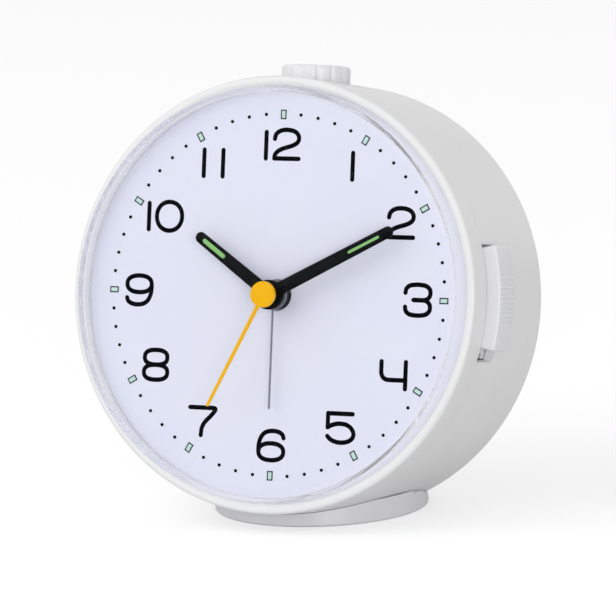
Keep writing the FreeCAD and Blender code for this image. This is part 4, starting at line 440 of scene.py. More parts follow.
def rounded(corners: Array | list[tuple[float, float]], radii: list[float] | tuple[float, ...],
            steps: int = 8) -> Array:
    """Rounds the corners of a closed outline.

    Each corner is replaced by a circular arc that touches both of its sides. The arc's middle
    lies on the corner's bisector, at radius over the sine of half the corner, and its points turn
    evenly from one touching point to the other. A radius of 0 leaves the corner as it is.

    Args:
        corners: corner points, one row each.
        radii: radius at each corner.
        steps: intervals in each arc.

    Returns:
        Points of the rounded outline, one row each.
    """
    corners = np.asarray(corners, dtype=float)
    radii = np.asarray(radii, dtype=float)[:, None]
    before, after = (np.roll(corners, way, axis=0) - corners for way in (1, -1))
    before /= np.linalg.norm(before, axis=1, keepdims=True)
    after /= np.linalg.norm(after, axis=1, keepdims=True)
    half = np.arccos(np.clip((before * after).sum(1, keepdims=True), -1, 1)) / 2
    bisector = before + after
    length = np.linalg.norm(bisector, axis=1, keepdims=True)
    bisector /= np.where(length < TINY, 1.0, length)
    middle = corners + bisector * radii / np.sin(half)
    first = corners + before * radii / np.tan(half) - middle
    last = corners + after * radii / np.tan(half) - middle
    sweep = (math.pi - 2 * half)[:, None]
    share = np.linspace(0, 1, steps + 1)[None, :, None]
    divisor = np.where(np.sin(sweep) < TINY, 1.0, np.sin(sweep))
    arc = (np.sin((1 - share) * sweep) * first[:, None]
           + np.sin(share * sweep) * last[:, None]) / divisor
    line = (middle[:, None] + arc).reshape(-1, corners.shape[1])
    return line[np.linalg.norm(line - np.roll(line, 1, axis=0), axis=1) > SAME_POINT]


def flow(points: Array, steps: int = 6) -> Array:
    """Leads a smooth line through given points.

    Between two neighbours the line is the cubic whose slope at each point is half the step from
    the point before to the point after.

    Args:
        points: rows of x and z.
        steps: intervals between two points.

    Returns:
        Points along the line.
    """
    p = np.concatenate([2 * points[:1] - points[1:2], points, 2 * points[-1:] - points[-2:-1]])
    t = np.linspace(0, 1, steps, endpoint=False)[None, :, None]
    a, b, c, e = (p[k:len(p) - 3 + k, None] for k in range(4))
    line = 0.5 * (2 * b + (c - a) * t + (2 * a - 5 * b + 4 * c - e) * t ** 2
                  + (3 * b - a - 3 * c + e) * t ** 3)
    return np.concatenate([line.reshape(-1, 2), p[-2:-1]])


END_STEPS = 8
ACROSS_STEPS = 8
BEAD_POWER = 6
UNDERSIDE = [0.4, -0.4]
UNDERSIDE_RISE = [-0.1, -0.1]


def ink_stroke(path: Array, half: float, height: float, closed: bool = False) -> Array:
    """Lays a low, flat-topped bead of ink along a path.

    Across the stroke the height falls as the sixth power of the distance from its middle. At an
    open end the width shrinks as a semicircle does, so the end is round.

    Args:
        path: rows of x and z.
        half: half the width of the stroke.
        height: height of the bead before the dial.
        closed: whether the path is a loop.

    Returns:
        Grid of points, along the stroke by round its section.
    """
    if closed:
        along = np.roll(path, -1, axis=0) - np.roll(path, 1, axis=0)
    else:
        along = np.gradient(path, axis=0)
    along = along / np.linalg.norm(along, axis=1, keepdims=True)
    width = np.full(len(path), half)
    if not closed:
        swing = quarter(END_STEPS)[1:]
        reach, narrow = half * np.sin(swing)[:, None], half * np.cos(swing)
        path = np.concatenate([path[:1] - along[:1] * reach[::-1], path,
                               path[-1:] + along[-1:] * reach])
        along = np.concatenate([np.repeat(along[:1], END_STEPS, 0), along,
                                np.repeat(along[-1:], END_STEPS, 0)])
        width = np.concatenate([narrow[::-1], width, narrow])
    side = np.stack([along[:, 1], -along[:, 0]], axis=1)
    share = np.linspace(-1, 1, ACROSS_STEPS + 1)
    across = np.concatenate([share, UNDERSIDE])
    rise = np.concatenate([1 - share ** BEAD_POWER, UNDERSIDE_RISE])
    flat = path[:, None] + side[:, None] * (across[None, :] * width[:, None])[..., None]
    return joined(flat[..., 0], -height * rise, flat[..., 1])


@dataclass
class Patch:
    """One grid of points and the ways in which it closes on itself."""

    points: Array
    rows_meet: bool = False
    columns_meet: bool = True

    def faces(self) -> Array:
        """Joins each point to its neighbours by rows of four point numbers."""
        rows, columns = self.points.shape[:2]
        number = np.arange(rows * columns).reshape(rows, columns)
        if self.rows_meet:
            number = np.concatenate([number, number[:1]])
        if self.columns_meet:
            number = np.concatenate([number, number[:, :1]], axis=1)
        return np.stack([number[:-1, :-1], number[1:, :-1], number[1:, 1:], number[:-1, 1:]],
                        axis=-1).reshape(-1, 4)


def lathe(profile: Array, steps: int, rows_meet: bool = False) -> Patch:
    """Turns a profile of radius and depth once round the hands' axis."""
    return Patch(around(profile[:, :1], full_turn(steps), profile[:, 1:]), rows_meet)


# ---- Meshes and objects

MERGE_REACH = 2e-7
SLIVER = 1e-8
FLAT_TURN = math.radians(0.2)


def shells(patches: list[Patch]) -> bmesh.types.BMesh:
    """Makes one shape, in metres, from closed shells in the barrel's frame."""
    shape = bmesh.new()
    for patch in patches:
        shell = bpy.data.meshes.new("shell")
        points = BARREL.place(patch.points).reshape(-1, 3)
        shell.from_pydata(points.tolist(), [], patch.faces().tolist())
        shape.from_mesh(shell)
        bpy.data.meshes.remove(shell)
    return shape


def merged(node: str) -> bmesh.types.BMesh:
    """Makes a shape from a copy of a solid, with its flat triangles merged to larger faces."""
    shape = bmesh.new()
    shape.from_mesh(frame["nodes"][node].data)
    shape.transform(frame["nodes"][node].matrix_world)
    bmesh.ops.remove_doubles(shape, verts=shape.verts, dist=MERGE_REACH)
    bmesh.ops.dissolve_limit(shape, angle_limit=FLAT_TURN, verts=shape.verts, edges=shape.edges)
    return shape


def read(items: bpy.types.bpy_prop_collection, attribute: str, width: int = 3,
         kind: type = float) -> Array:
    """Reads one attribute of a mesh's items, with one row for each item."""
    values = np.empty(len(items) * width, dtype=kind)
    items.foreach_get(attribute, values)
    return values.reshape(-1, width)


def add_object(name: str, data: bpy.types.ID) -> bpy.types.Object:
    """Adds an object to the scene."""
    item = bpy.data.objects.new(name, data)
    bpy.context.scene.collection.objects.link(item)
    return item


def stance(x: Array, y: Array, z: Array, place: Array) -> Matrix:
    """Gives an object's matrix from the directions of its axes and its place."""
    return Matrix([*np.stack([x, y, z, place], axis=1).tolist(), [0, 0, 0, 1]])


@dataclass
class Workshop:
    """Makes shapes into pieces of the clock and keeps one material for each slot."""

    materials: dict[Slot, bpy.types.Material] = field(default_factory=dict)

    def finish(self, slot: Slot) -> bpy.types.Material:
        """Gives the material of a slot, made on first use."""
        if slot not in self.materials:
            self.materials[slot] = slot.value.material()
        return self.materials[slot]

    def dress_frame(self) -> None:
        """Gives every carried-over solid the finish of its slot in the record."""
        for row in frame["record"]["subparts"]:
            solid = frame["nodes"][row["node"]]
            material = self.finish(Slot[row["material_slot"]])
            if solid.material_slots:
                for holder in solid.material_slots:
                    holder.material = material
            else:
                solid.data.materials.append(material)
            log.info("solid %s gets %s", row["node"], material.name)

    def piece(self, name: str, shape: bmesh.types.BMesh | list[Patch], slot: Slot,
              body: str = "case", nodes: tuple[str, ...] = (),
              crease: float = 32.0) -> bpy.types.Object:
        """Closes a shape, turns its faces outwards and adds it to the clock.

        Args:
            name: name of the piece.
            shape: closed shells in the barrel's frame, or a shape in metres.
            slot: material slot of the piece.
            body: body that the piece rides on.
            nodes: solids that the piece stands for.
            crease: angle in degrees above which an edge stays crisp.

        Returns:
            The new object.
        """
        if isinstance(shape, list):
            shape = shells(shape)
        bmesh.ops.remove_doubles(shape, verts=shape.verts, dist=MERGE_REACH)
        bmesh.ops.dissolve_degenerate(shape, edges=shape.edges, dist=SLIVER)
        bmesh.ops.recalc_face_normals(shape, faces=shape.faces)
        if shape.calc_volume(signed=True) < 0:
            bmesh.ops.reverse_faces(shape, faces=shape.faces)
        mesh = bpy.data.meshes.new(name)
        shape.to_mesh(mesh)
        shape.free()
        mesh.polygons.foreach_set("use_smooth", np.ones(len(mesh.polygons), dtype=bool))
        mesh.set_sharp_from_angle(angle=math.radians(crease))
        mesh.materials.append(self.finish(slot))
        piece = add_object(name, mesh)
        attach(piece, body)
        if nodes:
            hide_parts(*nodes)
        log.info("piece %s: %d faces on %s", name, len(mesh.polygons), body)
        return piece


# ---- The clock

@dataclass
class Case:
    """Barrel, bezel, foot and rear cover."""

    outside: float = 49.5
    mouth: float = 47.2
    bore: float = 47.5
    front: float = -3.5
    lip_back: float = -1.2
    seam: float = 3.7
    inner_round: float = 1.2
    shoulder: float = 0.8
    seam_round: float = 0.04
    hidden_round: float = 0.1
    round_steps: int = 12
    turns: int = 360
    solid_crease: float = 25.0
    even_reach: float = 0.03
    even_turn: float = 4.0

    def bezel(self, shop: Workshop) -> None:
        """Turns the bezel's closed section round the hands' axis."""
        corners = [(self.mouth, self.front), (self.outside, self.front), (self.outside, self.seam),
                   (self.bore, self.seam), (self.bore, self.lip_back), (self.mouth, self.lip_back)]
        radii = [self.inner_round, self.shoulder, self.seam_round] + [self.hidden_round] * 3
        ring = lathe(rounded(corners, radii, self.round_steps), self.turns, True)
        shop.piece("bezel", [ring], Slot.white_case, nodes=("bezel_ring",))

    def copy(self, shop: Workshop, name: str, node: str, slot: Slot,
             body: str = "case") -> bpy.types.Object:
        """Makes a piece with even shading from a merged copy of a solid."""
        return shop.piece(name, merged(node), slot, body, (node,), self.solid_crease)

    def even(self, piece: bpy.types.Object) -> None:
        """Shades the barrel's round side with the true normals of its cylinder.

        A face corner takes the direction straight out from the hands' axis where its point lies on
        the outside and its face looks the same way to within a few degrees.
        """
        mesh = piece.data
        normals = read(mesh.corner_normals, "vector")
        owners = read(mesh.loops, "vertex_index", 1, np.int32)[:, 0]
        counts = read(mesh.polygons, "loop_total", 1, np.int32)[:, 0]
        outward = BARREL.outward(read(mesh.vertices, "co"))[owners]
        radius = np.linalg.norm(outward, axis=1, keepdims=True)
        outward /= np.maximum(radius, TINY)
        facing = (np.repeat(read(mesh.polygons, "normal"), counts, axis=0) * outward
                  ).sum(axis=1, keepdims=True)
        on_side = ((np.abs(radius - self.outside) < self.even_reach)
                   & (facing > math.cos(math.radians(self.even_turn))))
        mesh.normals_split_custom_set(np.where(on_side, outward, normals).tolist())

    def build(self, shop: Workshop) -> None:
        """Makes all pieces of the case."""
        self.bezel(shop)
        self.even(self.copy(shop, "barrel", "case_shell", Slot.white_case))
        self.copy(shop, "stand", "foot", Slot.pale_foot)
        self.copy(shop, "rear_panel", "back_cover", Slot.white_case)
        self.copy(shop, "rear_hatch", "battery_door", Slot.white_case, "door")


@dataclass
class Lens:
    """Clear cap with a gently domed face, a skirt through the bezel and a flange behind it."""

    outside: float = 47.1
    front: float = -9.58
    edge: float = -7.38
    draft: float = 0.3
    skirt_start: float = -3.5
    wall: float = 1.0
    edge_round: float = 0.8
    flange_round: float = 0.02
    hidden_round: float = 0.1
    inner_round: float = 0.4
    flange: float = 47.4
    flange_front: float = -1.1
    foot: float = -0.1
    face_margin: float = 2.0
    skirt_width: float = 1.6
    skirt_fade: float = 0.5
    crease: float = 20.0
    round_steps: int = 10
    rings: int = 24
    turns: int = 360

    def dome(self, radius: float, middle: float, edge: float) -> Array:
        """Draws a dome's section from the axis to just before its edge.

        The section is the circle through the middle and the edge whose centre lies on the axis.

        Args:
            radius: radius of the edge.
            middle: depth of the dome's middle.
            edge: depth of the edge.

        Returns:
            Rows of radius and depth.
        """
        ball = (radius ** 2 + (edge - middle) ** 2) / (2 * (edge - middle))
        reach = np.linspace(0, radius - self.face_margin, self.rings)
        return np.stack([reach, middle + ball - np.sqrt(ball ** 2 - reach ** 2)], axis=1)

    def build(self, shop: Workshop) -> None:
        """Turns the closed section of the cap from its axis outwards and back."""
        rim = self.outside - self.draft
        outer = self.dome(rim, self.front, self.edge)
        inner = self.dome(rim - self.wall, self.front + self.wall, self.edge + self.wall)[::-1]
        inside = self.outside - self.wall
        skirt = np.array([
            (rim, self.edge), (self.outside, self.skirt_start), (self.outside, self.flange_front),
            (self.flange, self.flange_front), (self.flange, self.foot), (inside, self.foot),
            (inside, self.skirt_start), (rim - self.wall, self.edge + self.wall)])
        radii = [0.0] * self.rings + [self.edge_round, 0, self.flange_round] \
            + [self.hidden_round] * 3 + [0, self.inner_round] + [0.0] * self.rings
        section = rounded(np.concatenate([outer, skirt, inner]), radii, self.round_steps)
        self.mark(shop.piece("lens_cap", [lathe(section, self.turns)], Slot.clear_lens,
                             nodes=("lens",), crease=self.crease))

    def mark(self, piece: bpy.types.Object) -> None:
        """Marks the skirt's points with 1 and the face's with 0, by their radius; the lens
        material paints light on the marked skirt.
        """
        radius = np.linalg.norm(BARREL.outward(read(piece.data.vertices, "co")), axis=1)
        share = np.clip((radius - self.outside + self.skirt_width) / self.skirt_fade, 0, 1)
        piece.data.attributes.new(SKIRT_MARK, "FLOAT", "POINT").data.foreach_set("value", share)


LOOP_POINTS = 48


def loop(x: float, z: float, across: float, up: float, square: float) -> Array:
    """Draws a rounded loop.

    Each coordinate is the half size times the cosine or sine of an angle, raised to 2 over a power
    with its sign kept, so a power above 2 gives fuller corners than an ellipse.

    Args:
        x: middle, sideways.
        z: middle, upwards.
        across: half the width.
        up: half the height.
        square: power of the rounding.

    Returns:
        Points of the loop.
    """
    angle = full_turn(LOOP_POINTS)
    way = np.stack([np.cos(angle), np.sin(angle)], axis=1)
    return (x, z) + np.array([across, up]) * np.sign(way) * np.abs(way) ** (2 / square)


def stroke_line(points: list[tuple[float, float]]) -> Array:
    """Leads a straight line through two points, and a smooth one through more."""
    rows = np.array(points, dtype=float)
    return np.linspace(*rows, 3) if len(rows) == 2 else flow(rows)


TWO_BOW = [(-3.0, 1.2), (-2.75, 2.15), (-2.0, 2.85), (-0.95, 3.2), (0.1, 3.26), (1.3, 3.1),
           (2.3, 2.65), (2.85, 1.95), (2.97, 1.3), (2.75, 0.6), (2.1, 0.05), (1.1, -0.4),
           (-0.1, -0.75), (-1.3, -1.15), (-2.2, -1.65), (-2.8, -2.3), (-2.97, -2.9),
           (-2.98, -3.25)]
THREE_BOW = [(-3.05, 1.6), (-2.85, 2.5), (-2.0, 3.2), (-0.6, 3.42), (0.6, 3.42), (2.0, 3.15),
             (2.8, 2.45), (2.97, 1.65), (2.8, 0.85), (2.1, 0.2), (1.0, 0.0), (-1.05, 0.0)]
FOUR_SIDE = [(-3.35, 3.2), (-3.35, 2.4), (-3.35, 1.5), (-3.3, 0.5), (-2.85, -0.4), (-2.0, -0.84),
             (-1.0, -0.9), (1.0, -0.9), (2.6, -0.9)]
FIVE_BOW = [(-3.35, 0.45), (-2.5, 0.9), (-1.4, 1.25), (-0.3, 1.35), (1.2, 1.15), (2.4, 0.4),
            (3.0, -0.7), (2.8, -1.75), (1.9, -2.5), (0.5, -2.85), (-1.1, -2.8), (-2.5, -2.3),
            (-3.35, -1.55)]
SIX_BOW = [(3.05, 1.8), (2.7, 2.6), (1.7, 3.15), (0.3, 3.32), (-1.2, 3.05), (-2.3, 2.2),
           (-2.95, 0.7), (-3.1, -0.9), (-3.06, -1.4)]
SEVEN_LEG = [(2.5, 3.55), (3.0, 3.35), (2.8, 2.8), (1.75, 1.6), (0.55, 0.4), (-0.25, -1.0),
             (-0.45, -2.7)]
# Each numeral's strokes, by the points that they pass, and its loops, about its own middle
GLYPHS: dict[str, list[list[tuple[float, float]] | Array]] = {
    "1": [[(0, -2.98), (0, 2.98)]],
    "2": [TWO_BOW, [(-2.98, -3.25), (3.0, -3.25)]],
    "3": [THREE_BOW, [(x, -z) for x, z in THREE_BOW]],
    "4": [FOUR_SIDE, [(2.55, 3.2), (2.55, -2.8)]],
    "5": [[(-3.35, 3.6), (2.65, 3.6)], [(-3.35, 3.6), (-3.35, 0.45)], FIVE_BOW],
    "6": [SIX_BOW, loop(0.02, -1.4, 3.08, 1.9, 2.3)],
    "7": [[(-3.35, 3.55), (2.5, 3.55)], SEVEN_LEG],
    "8": [loop(0, 1.72, 2.85, 1.68, 2.5), loop(0, -1.7, 2.95, 1.7, 2.5)],
    "0": [loop(0, 0, 3.18, 3.28, 2.1)],
}
# Glyph, place on the dial, and whether it is turned by half a turn
NUMERALS: list[tuple[str, float, float, bool]] = [
    ("1", -4.05, 33.8, False), ("2", 1.05, 34.12, False), ("1", 17.45, 29.5, False),
    ("2", 29.8, 17.12, False), ("3", 34.55, 0.0, False), ("4", 29.7, -17.15, False),
    ("5", 17.15, -29.7, False), ("6", 0.0, -34.02, False), ("7", -17.15, -29.7, False),
    ("8", -29.6, -16.9, False), ("6", -34.5, 0.05, True), ("1", -32.75, 17.0, False),
    ("0", -27.6, 17.1, False), ("1", -19.4, 29.5, False), ("1", -14.65, 29.5, False),
]


@dataclass
class Dial:
    """Print of the dial: numerals on their strokes, and hour blocks with their outlines."""

    half_stroke: float = 0.525
    ink: float = 0.06
    track: float = 40.85
    mark_across: float = 0.7
    mark_along: float = 1.08
    outline: float = 0.28
    outline_high: float = 0.07
    outline_ease: float = 0.02
    fill_high: float = 0.058
    fill_edge: float = 0.05
    overlap: float = 0.03
    sunk: float = 0.005
    fill_sunk: float = 0.004

    def numerals(self, shop: Workshop) -> None:
        """Lays every stroke of the twelve numerals."""
        patches = []
        for glyph, x, z, turned in NUMERALS:
            for stroke in GLYPHS[glyph]:
                closed = isinstance(stroke, Array)
                path = (stroke if closed else stroke_line(stroke)) * (-1 if turned else 1) + (x, z)
                patches.append(Patch(ink_stroke(path, self.half_stroke, self.ink, closed), closed))
        shop.piece("numerals", patches, Slot.black_print, nodes=("dial_numerals",))

    def block(self, hour: int, inset: list[float], height: list[float]) -> Array:
        """Carries a low section round the rectangle of one hour block.

        Args:
            hour: number of the hour.
            inset: how far each point of the section lies inside the rectangle.
            height: height of each point before the dial.

        Returns:
            Grid of points, round the rectangle by along the section.
        """
        sides = np.array([(1, 1), (1, -1), (-1, -1), (-1, 1)], dtype=float)
        across = sides[:, :1] * (self.mark_across - np.array(inset))
        along = sides[:, 1:] * (self.mark_along - np.array(inset))
        return swung(across, along + self.track, 30 * hour, -np.array(height))

    def marks(self, shop: Workshop) -> None:
        """Prints a mint block with a dark outline at each hour."""
        edge, middle = self.outline - self.overlap, self.mark_across
        fill = ([middle, edge, edge, edge + self.outline_ease, middle],
                [-self.fill_sunk, -self.fill_sunk, self.fill_edge, self.fill_high, self.fill_high])
        line = ([0.0, self.outline_ease, self.outline - self.outline_ease, self.outline],
                [-self.sunk, self.outline_high, self.outline_high, -self.sunk])
        for name, section, closed, slot, nodes in (
                ("hour_blocks", fill, False, Slot.mint_print, ("hour_markers",)),
                ("hour_outlines", line, True, Slot.black_print, ())):
            blocks = [Patch(self.block(hour, *section), True, closed) for hour in range(12)]
            shop.piece(name, blocks, slot, nodes=nodes)

    def build(self, shop: Workshop) -> None:
        """Makes all the raised print."""
        self.numerals(shop)
        self.marks(shop)


@dataclass(frozen=True)
class Hand:
    """A flat hand: round hub with a bore, bar that tapers from root to tip, and round end.

    Root and tip are half the bar's width, angle is in degrees from twelve o'clock, and front is
    the depth of its front face.
    """

    hub: float
    root: float
    tip: float
    length: float
    angle: float
    front: float
    bore: float
    thick: float = 0.35
    edge: float = 0.1
    hub_steps: int = 60
    end_steps: int = 18
    bar_steps: int = 13
    edge_steps: int = 4
    strip_steps: int = 11

    def ring(self, inset: float) -> Array:
        """Draws the outline at an inset: the hub's arc, one side, the round end, the other side.

        Args:
            inset: distance inside the true outline.

        Returns:
            Rows of across and along.
        """
        hub, root, tip = self.hub - inset, self.root - inset, self.tip - inset
        opening = math.asin(root / hub)
        arc = np.linspace(opening, 2 * math.pi - opening, self.hub_steps + 1)
        end = np.linspace(-math.pi / 2, math.pi / 2, self.end_steps + 1)[1:-1]
        share = np.linspace(0, 1, self.bar_steps + 1)[1:]
        start = hub * math.cos(opening)
        reach = start + (self.length - start) * share
        half = root + (tip - root) * share
        return np.concatenate([
            np.stack([hub * np.sin(arc), hub * np.cos(arc)], 1), np.stack([-half, reach], 1),
            np.stack([tip * np.sin(end), self.length + tip * np.cos(end)], 1),
            np.stack([half, reach], 1)[::-1]])

    def blade(self) -> Patch:
        """Carries the outline from the bore's back over the rounded edges to the bore's front."""
        swing = quarter(self.edge_steps)
        falling, rising = self.edge * (1 - np.sin(swing)), self.edge * (1 - np.cos(swing))
        back = self.front + self.thick
        rings = np.stack([self.ring(inset) for inset in (*falling, *rising)])
        inner = rings[:1] / np.linalg.norm(rings[:1], axis=2, keepdims=True) * self.bore
        rings = np.concatenate([inner, rings, inner])
        depths = np.array([[back, *(back - rising), *(self.front + falling), self.front]]).T
        return Patch(swung(rings[..., 0], rings[..., 1], self.angle, depths), rows_meet=True)

    def strip(self, start: float, end: float, half: float, height: float) -> Patch:
        """Lays a bead of paint on the hand from one reach to another."""
        line = np.linspace((0.0, start), (0.0, end), self.strip_steps + 1)
        grid = ink_stroke(line, half, height)
        return Patch(swung(grid[..., 0], grid[..., 2], self.angle, grid[..., 1] + self.front))


def collar(outer: float, bore: float, front: float, back: float, ease: float = 0.08,
           bore_ease: float = 0.03, ease_steps: int = 4, steps: int = 96) -> Patch:
    """Turns a short tube with eased edges round the hands' axis."""
    section = rounded([(bore, front), (outer, front), (outer, back), (bore, back)],
                      [bore_ease, ease, ease, bore_ease], ease_steps)
    return lathe(section, steps, True)


@dataclass
class Hands:
    """The four hands with their hubs and luminous strips."""

    hour: Hand = Hand(3.35, 1.5, 1.3, 21.5, 305.1, -4.1, 1.66)
    minute: Hand = Hand(3.35, 1.5, 1.3, 32.3, 62.6, -5.0, 1.1)
    second: Hand = Hand(2.2, 0.46, 0.36, 28.4, 206.8, -7.4, 0.3)
    alarm: Hand = Hand(3.35, 0.2, 0.2, 25.6, 180.0, -2.1, 2.22, edge=0.06)
    collar_radius: float = 3.0
    hour_collar: tuple[float, float] = (-3.78, -2.75)
    minute_collar: tuple[float, float] = (-4.68, -4.3)
    hour_strip: tuple[float, float, float] = (14.5, 20.2, 0.52)
    minute_strip: tuple[float, float, float] = (22.0, 29.7, 0.32)
    paint: float = 0.12
    cap_radius: float = 2.95
    cap_front: float = -8.25
    cap_back: float = -7.05
    cap_flat: float = 0.6
    cap_falls: tuple[float, float] = (0.03, 0.1)
    cap_rounds: tuple[float, ...] = (0.0, 0.5, 0.25, 0.1, 0.0)
    cap_turns: int = 128
    tube: tuple[float, float, float, float] = (1.06, 0.52, -7.2, -6.35)
    tube_ease: float = 0.02

    def cap(self) -> Patch:
        """Turns the second hand's round cap: a low dome with an eased edge."""
        radius, front, back = self.cap_radius, self.cap_front, self.cap_back
        near, far = (front + fall for fall in self.cap_falls)
        corners = [(0, front), (radius * self.cap_flat, near), (radius, far), (radius, back),
                   (0, back)]
        return lathe(rounded(corners, self.cap_rounds), self.cap_turns)

    def build(self, shop: Workshop) -> None:
        """Makes the hands at the time they show."""
        for name, hand, ends in (("hour", self.hour, self.hour_collar),
                                 ("minute", self.minute, self.minute_collar)):
            hub = collar(self.collar_radius, hand.bore, *ends)
            shop.piece(f"{name}_pointer", [hand.blade(), hub], Slot.black_hand,
                       f"{name}_hands", (f"{name}_hand",))
        for name, hand, strip in (("hour", self.hour, self.hour_strip),
                                  ("minute", self.minute, self.minute_strip)):
            shop.piece(f"{name}_paint", [hand.strip(*strip, self.paint)], Slot.lume_green,
                       f"{name}_hands", (f"{name}_hand_lume",))
        shop.piece("alarm_pointer_blade", [self.alarm.blade()], Slot.grey_hand, "alarm_pointer",
                   ("alarm_hand",))
        tube = collar(*self.tube, self.tube_ease, self.tube_ease, 3, 64)
        shop.piece("second_pointer", [self.second.blade(), self.cap(), tube], Slot.amber_hand,
                   "second_hands", ("second_hand",))


@dataclass
class TopButton:
    """Fluted top button with its flange and stem, and the spring under it."""

    radius: float = 7.9
    low: float = 45.07
    top: float = 52.88
    depth: float = 17.0
    chamfer: float = 0.8
    flutes: int = 14
    flute_depth: float = 0.42
    flute_power: float = 7.0
    fade_power: float = 0.5
    dish: float = 0.12
    stem: float = 1.6
    stem_reach: float = 3.7
    flange: float = 9.1
    flange_high: float = 1.3
    flange_ease: float = 0.1
    spring_radius: float = 6.0
    spring_wire: float = 0.35
    spring_length: float = 9.0
    spring_turns: int = 5
    travel: float = 1.5
    side_steps: int = 6
    edge_steps: int = 8
    flute_steps: int = 20
    spring_steps: int = 40
    wire_steps: int = 12

    def stood(self, points: Array) -> Patch:
        """Stands points that were drawn round the hands' axis upright at the button's place."""
        return Patch(points[..., [0, 2, 1]] + (0.0, self.depth, 0.0))

    def grip(self, shop: Workshop) -> None:
        """Turns the button's profile and presses the flutes in.

        The profile runs from the axis below, over the stem and the flange, up the side and over
        the edge to the axis above. At each angle the side's radius loses the flute depth times a
        power of the cosine of half the flute angle, and the loss fades out over the edge.
        """
        low, ease, stem, flange = self.low, self.flange_ease, self.stem, self.flange
        foot, high = low - self.stem_reach, low + self.flange_high
        skirt = np.array([(0, foot), (stem - ease, foot), (stem, foot + ease), (stem, low),
                          (flange - ease, low), (flange, low + ease), (flange, high - ease),
                          (flange - ease, high), (self.radius, high)])
        side = np.linspace(high, self.top - self.chamfer, self.side_steps + 1)
        swing = quarter(self.edge_steps)[1:]
        over = np.stack([self.radius - self.chamfer * (1 - np.cos(swing)),
                         self.top - self.chamfer * (1 - np.sin(swing))], 1)
        inward = np.linspace(1, 0, self.edge_steps + 1)[1:, None]
        crown = np.concatenate([inward * over[-1, 0], self.top - self.dish * (1 - inward ** 2)], 1)
        wall = np.stack([np.full(len(side), self.radius), side], 1)
        profile = np.concatenate([skirt, wall, over, crown])
        weight = np.concatenate([np.zeros(len(skirt)), np.ones(len(side)),
                                 np.cos(swing) ** self.fade_power, np.zeros(len(crown))])[:, None]
        turn = full_turn(self.flutes * self.flute_steps)
        groove = np.cos(self.flutes * turn / 2) ** 2
        radius = profile[:, :1] - self.flute_depth * weight * groove ** self.flute_power
        points = around(radius, turn, profile[:, 1:])
        shop.piece("top_button", [self.stood(points)], Slot.white_knob, "snooze",
                   ("snooze_button",))

    def spring(self, shop: Workshop) -> None:
        """Winds the button's spring.

        The wire's centre stands at the mean radius and climbs evenly with the angle. Round it the
        wire's section is a circle across the radial and the upright direction.
        """
        low = self.low - self.spring_length
        turn = np.linspace(0, 2 * math.pi * self.spring_turns,
                           self.spring_turns * self.spring_steps + 1)
        climb = np.linspace(low + self.spring_wire, self.low - self.spring_wire, len(turn))
        wire = np.pad(np.full(len(turn), self.spring_wire), 1)[:, None]
        turn, climb = (np.pad(values, 1, "edge")[:, None] for values in (turn, climb))
        way = full_turn(self.wire_steps)
        points = around(self.spring_radius + wire * np.cos(way), turn, climb + wire * np.sin(way))
        coil = shop.piece("button_spring", [self.stood(points)], Slot.plated_contact,
                          nodes=("snooze_spring",))
        foot = BARREL.place(np.array([0.0, self.depth, low]))
        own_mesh(coil)

    def build(self, shop: Workshop) -> None:
        """Makes the button and its spring."""
        self.grip(shop)
        self.spring(shop)


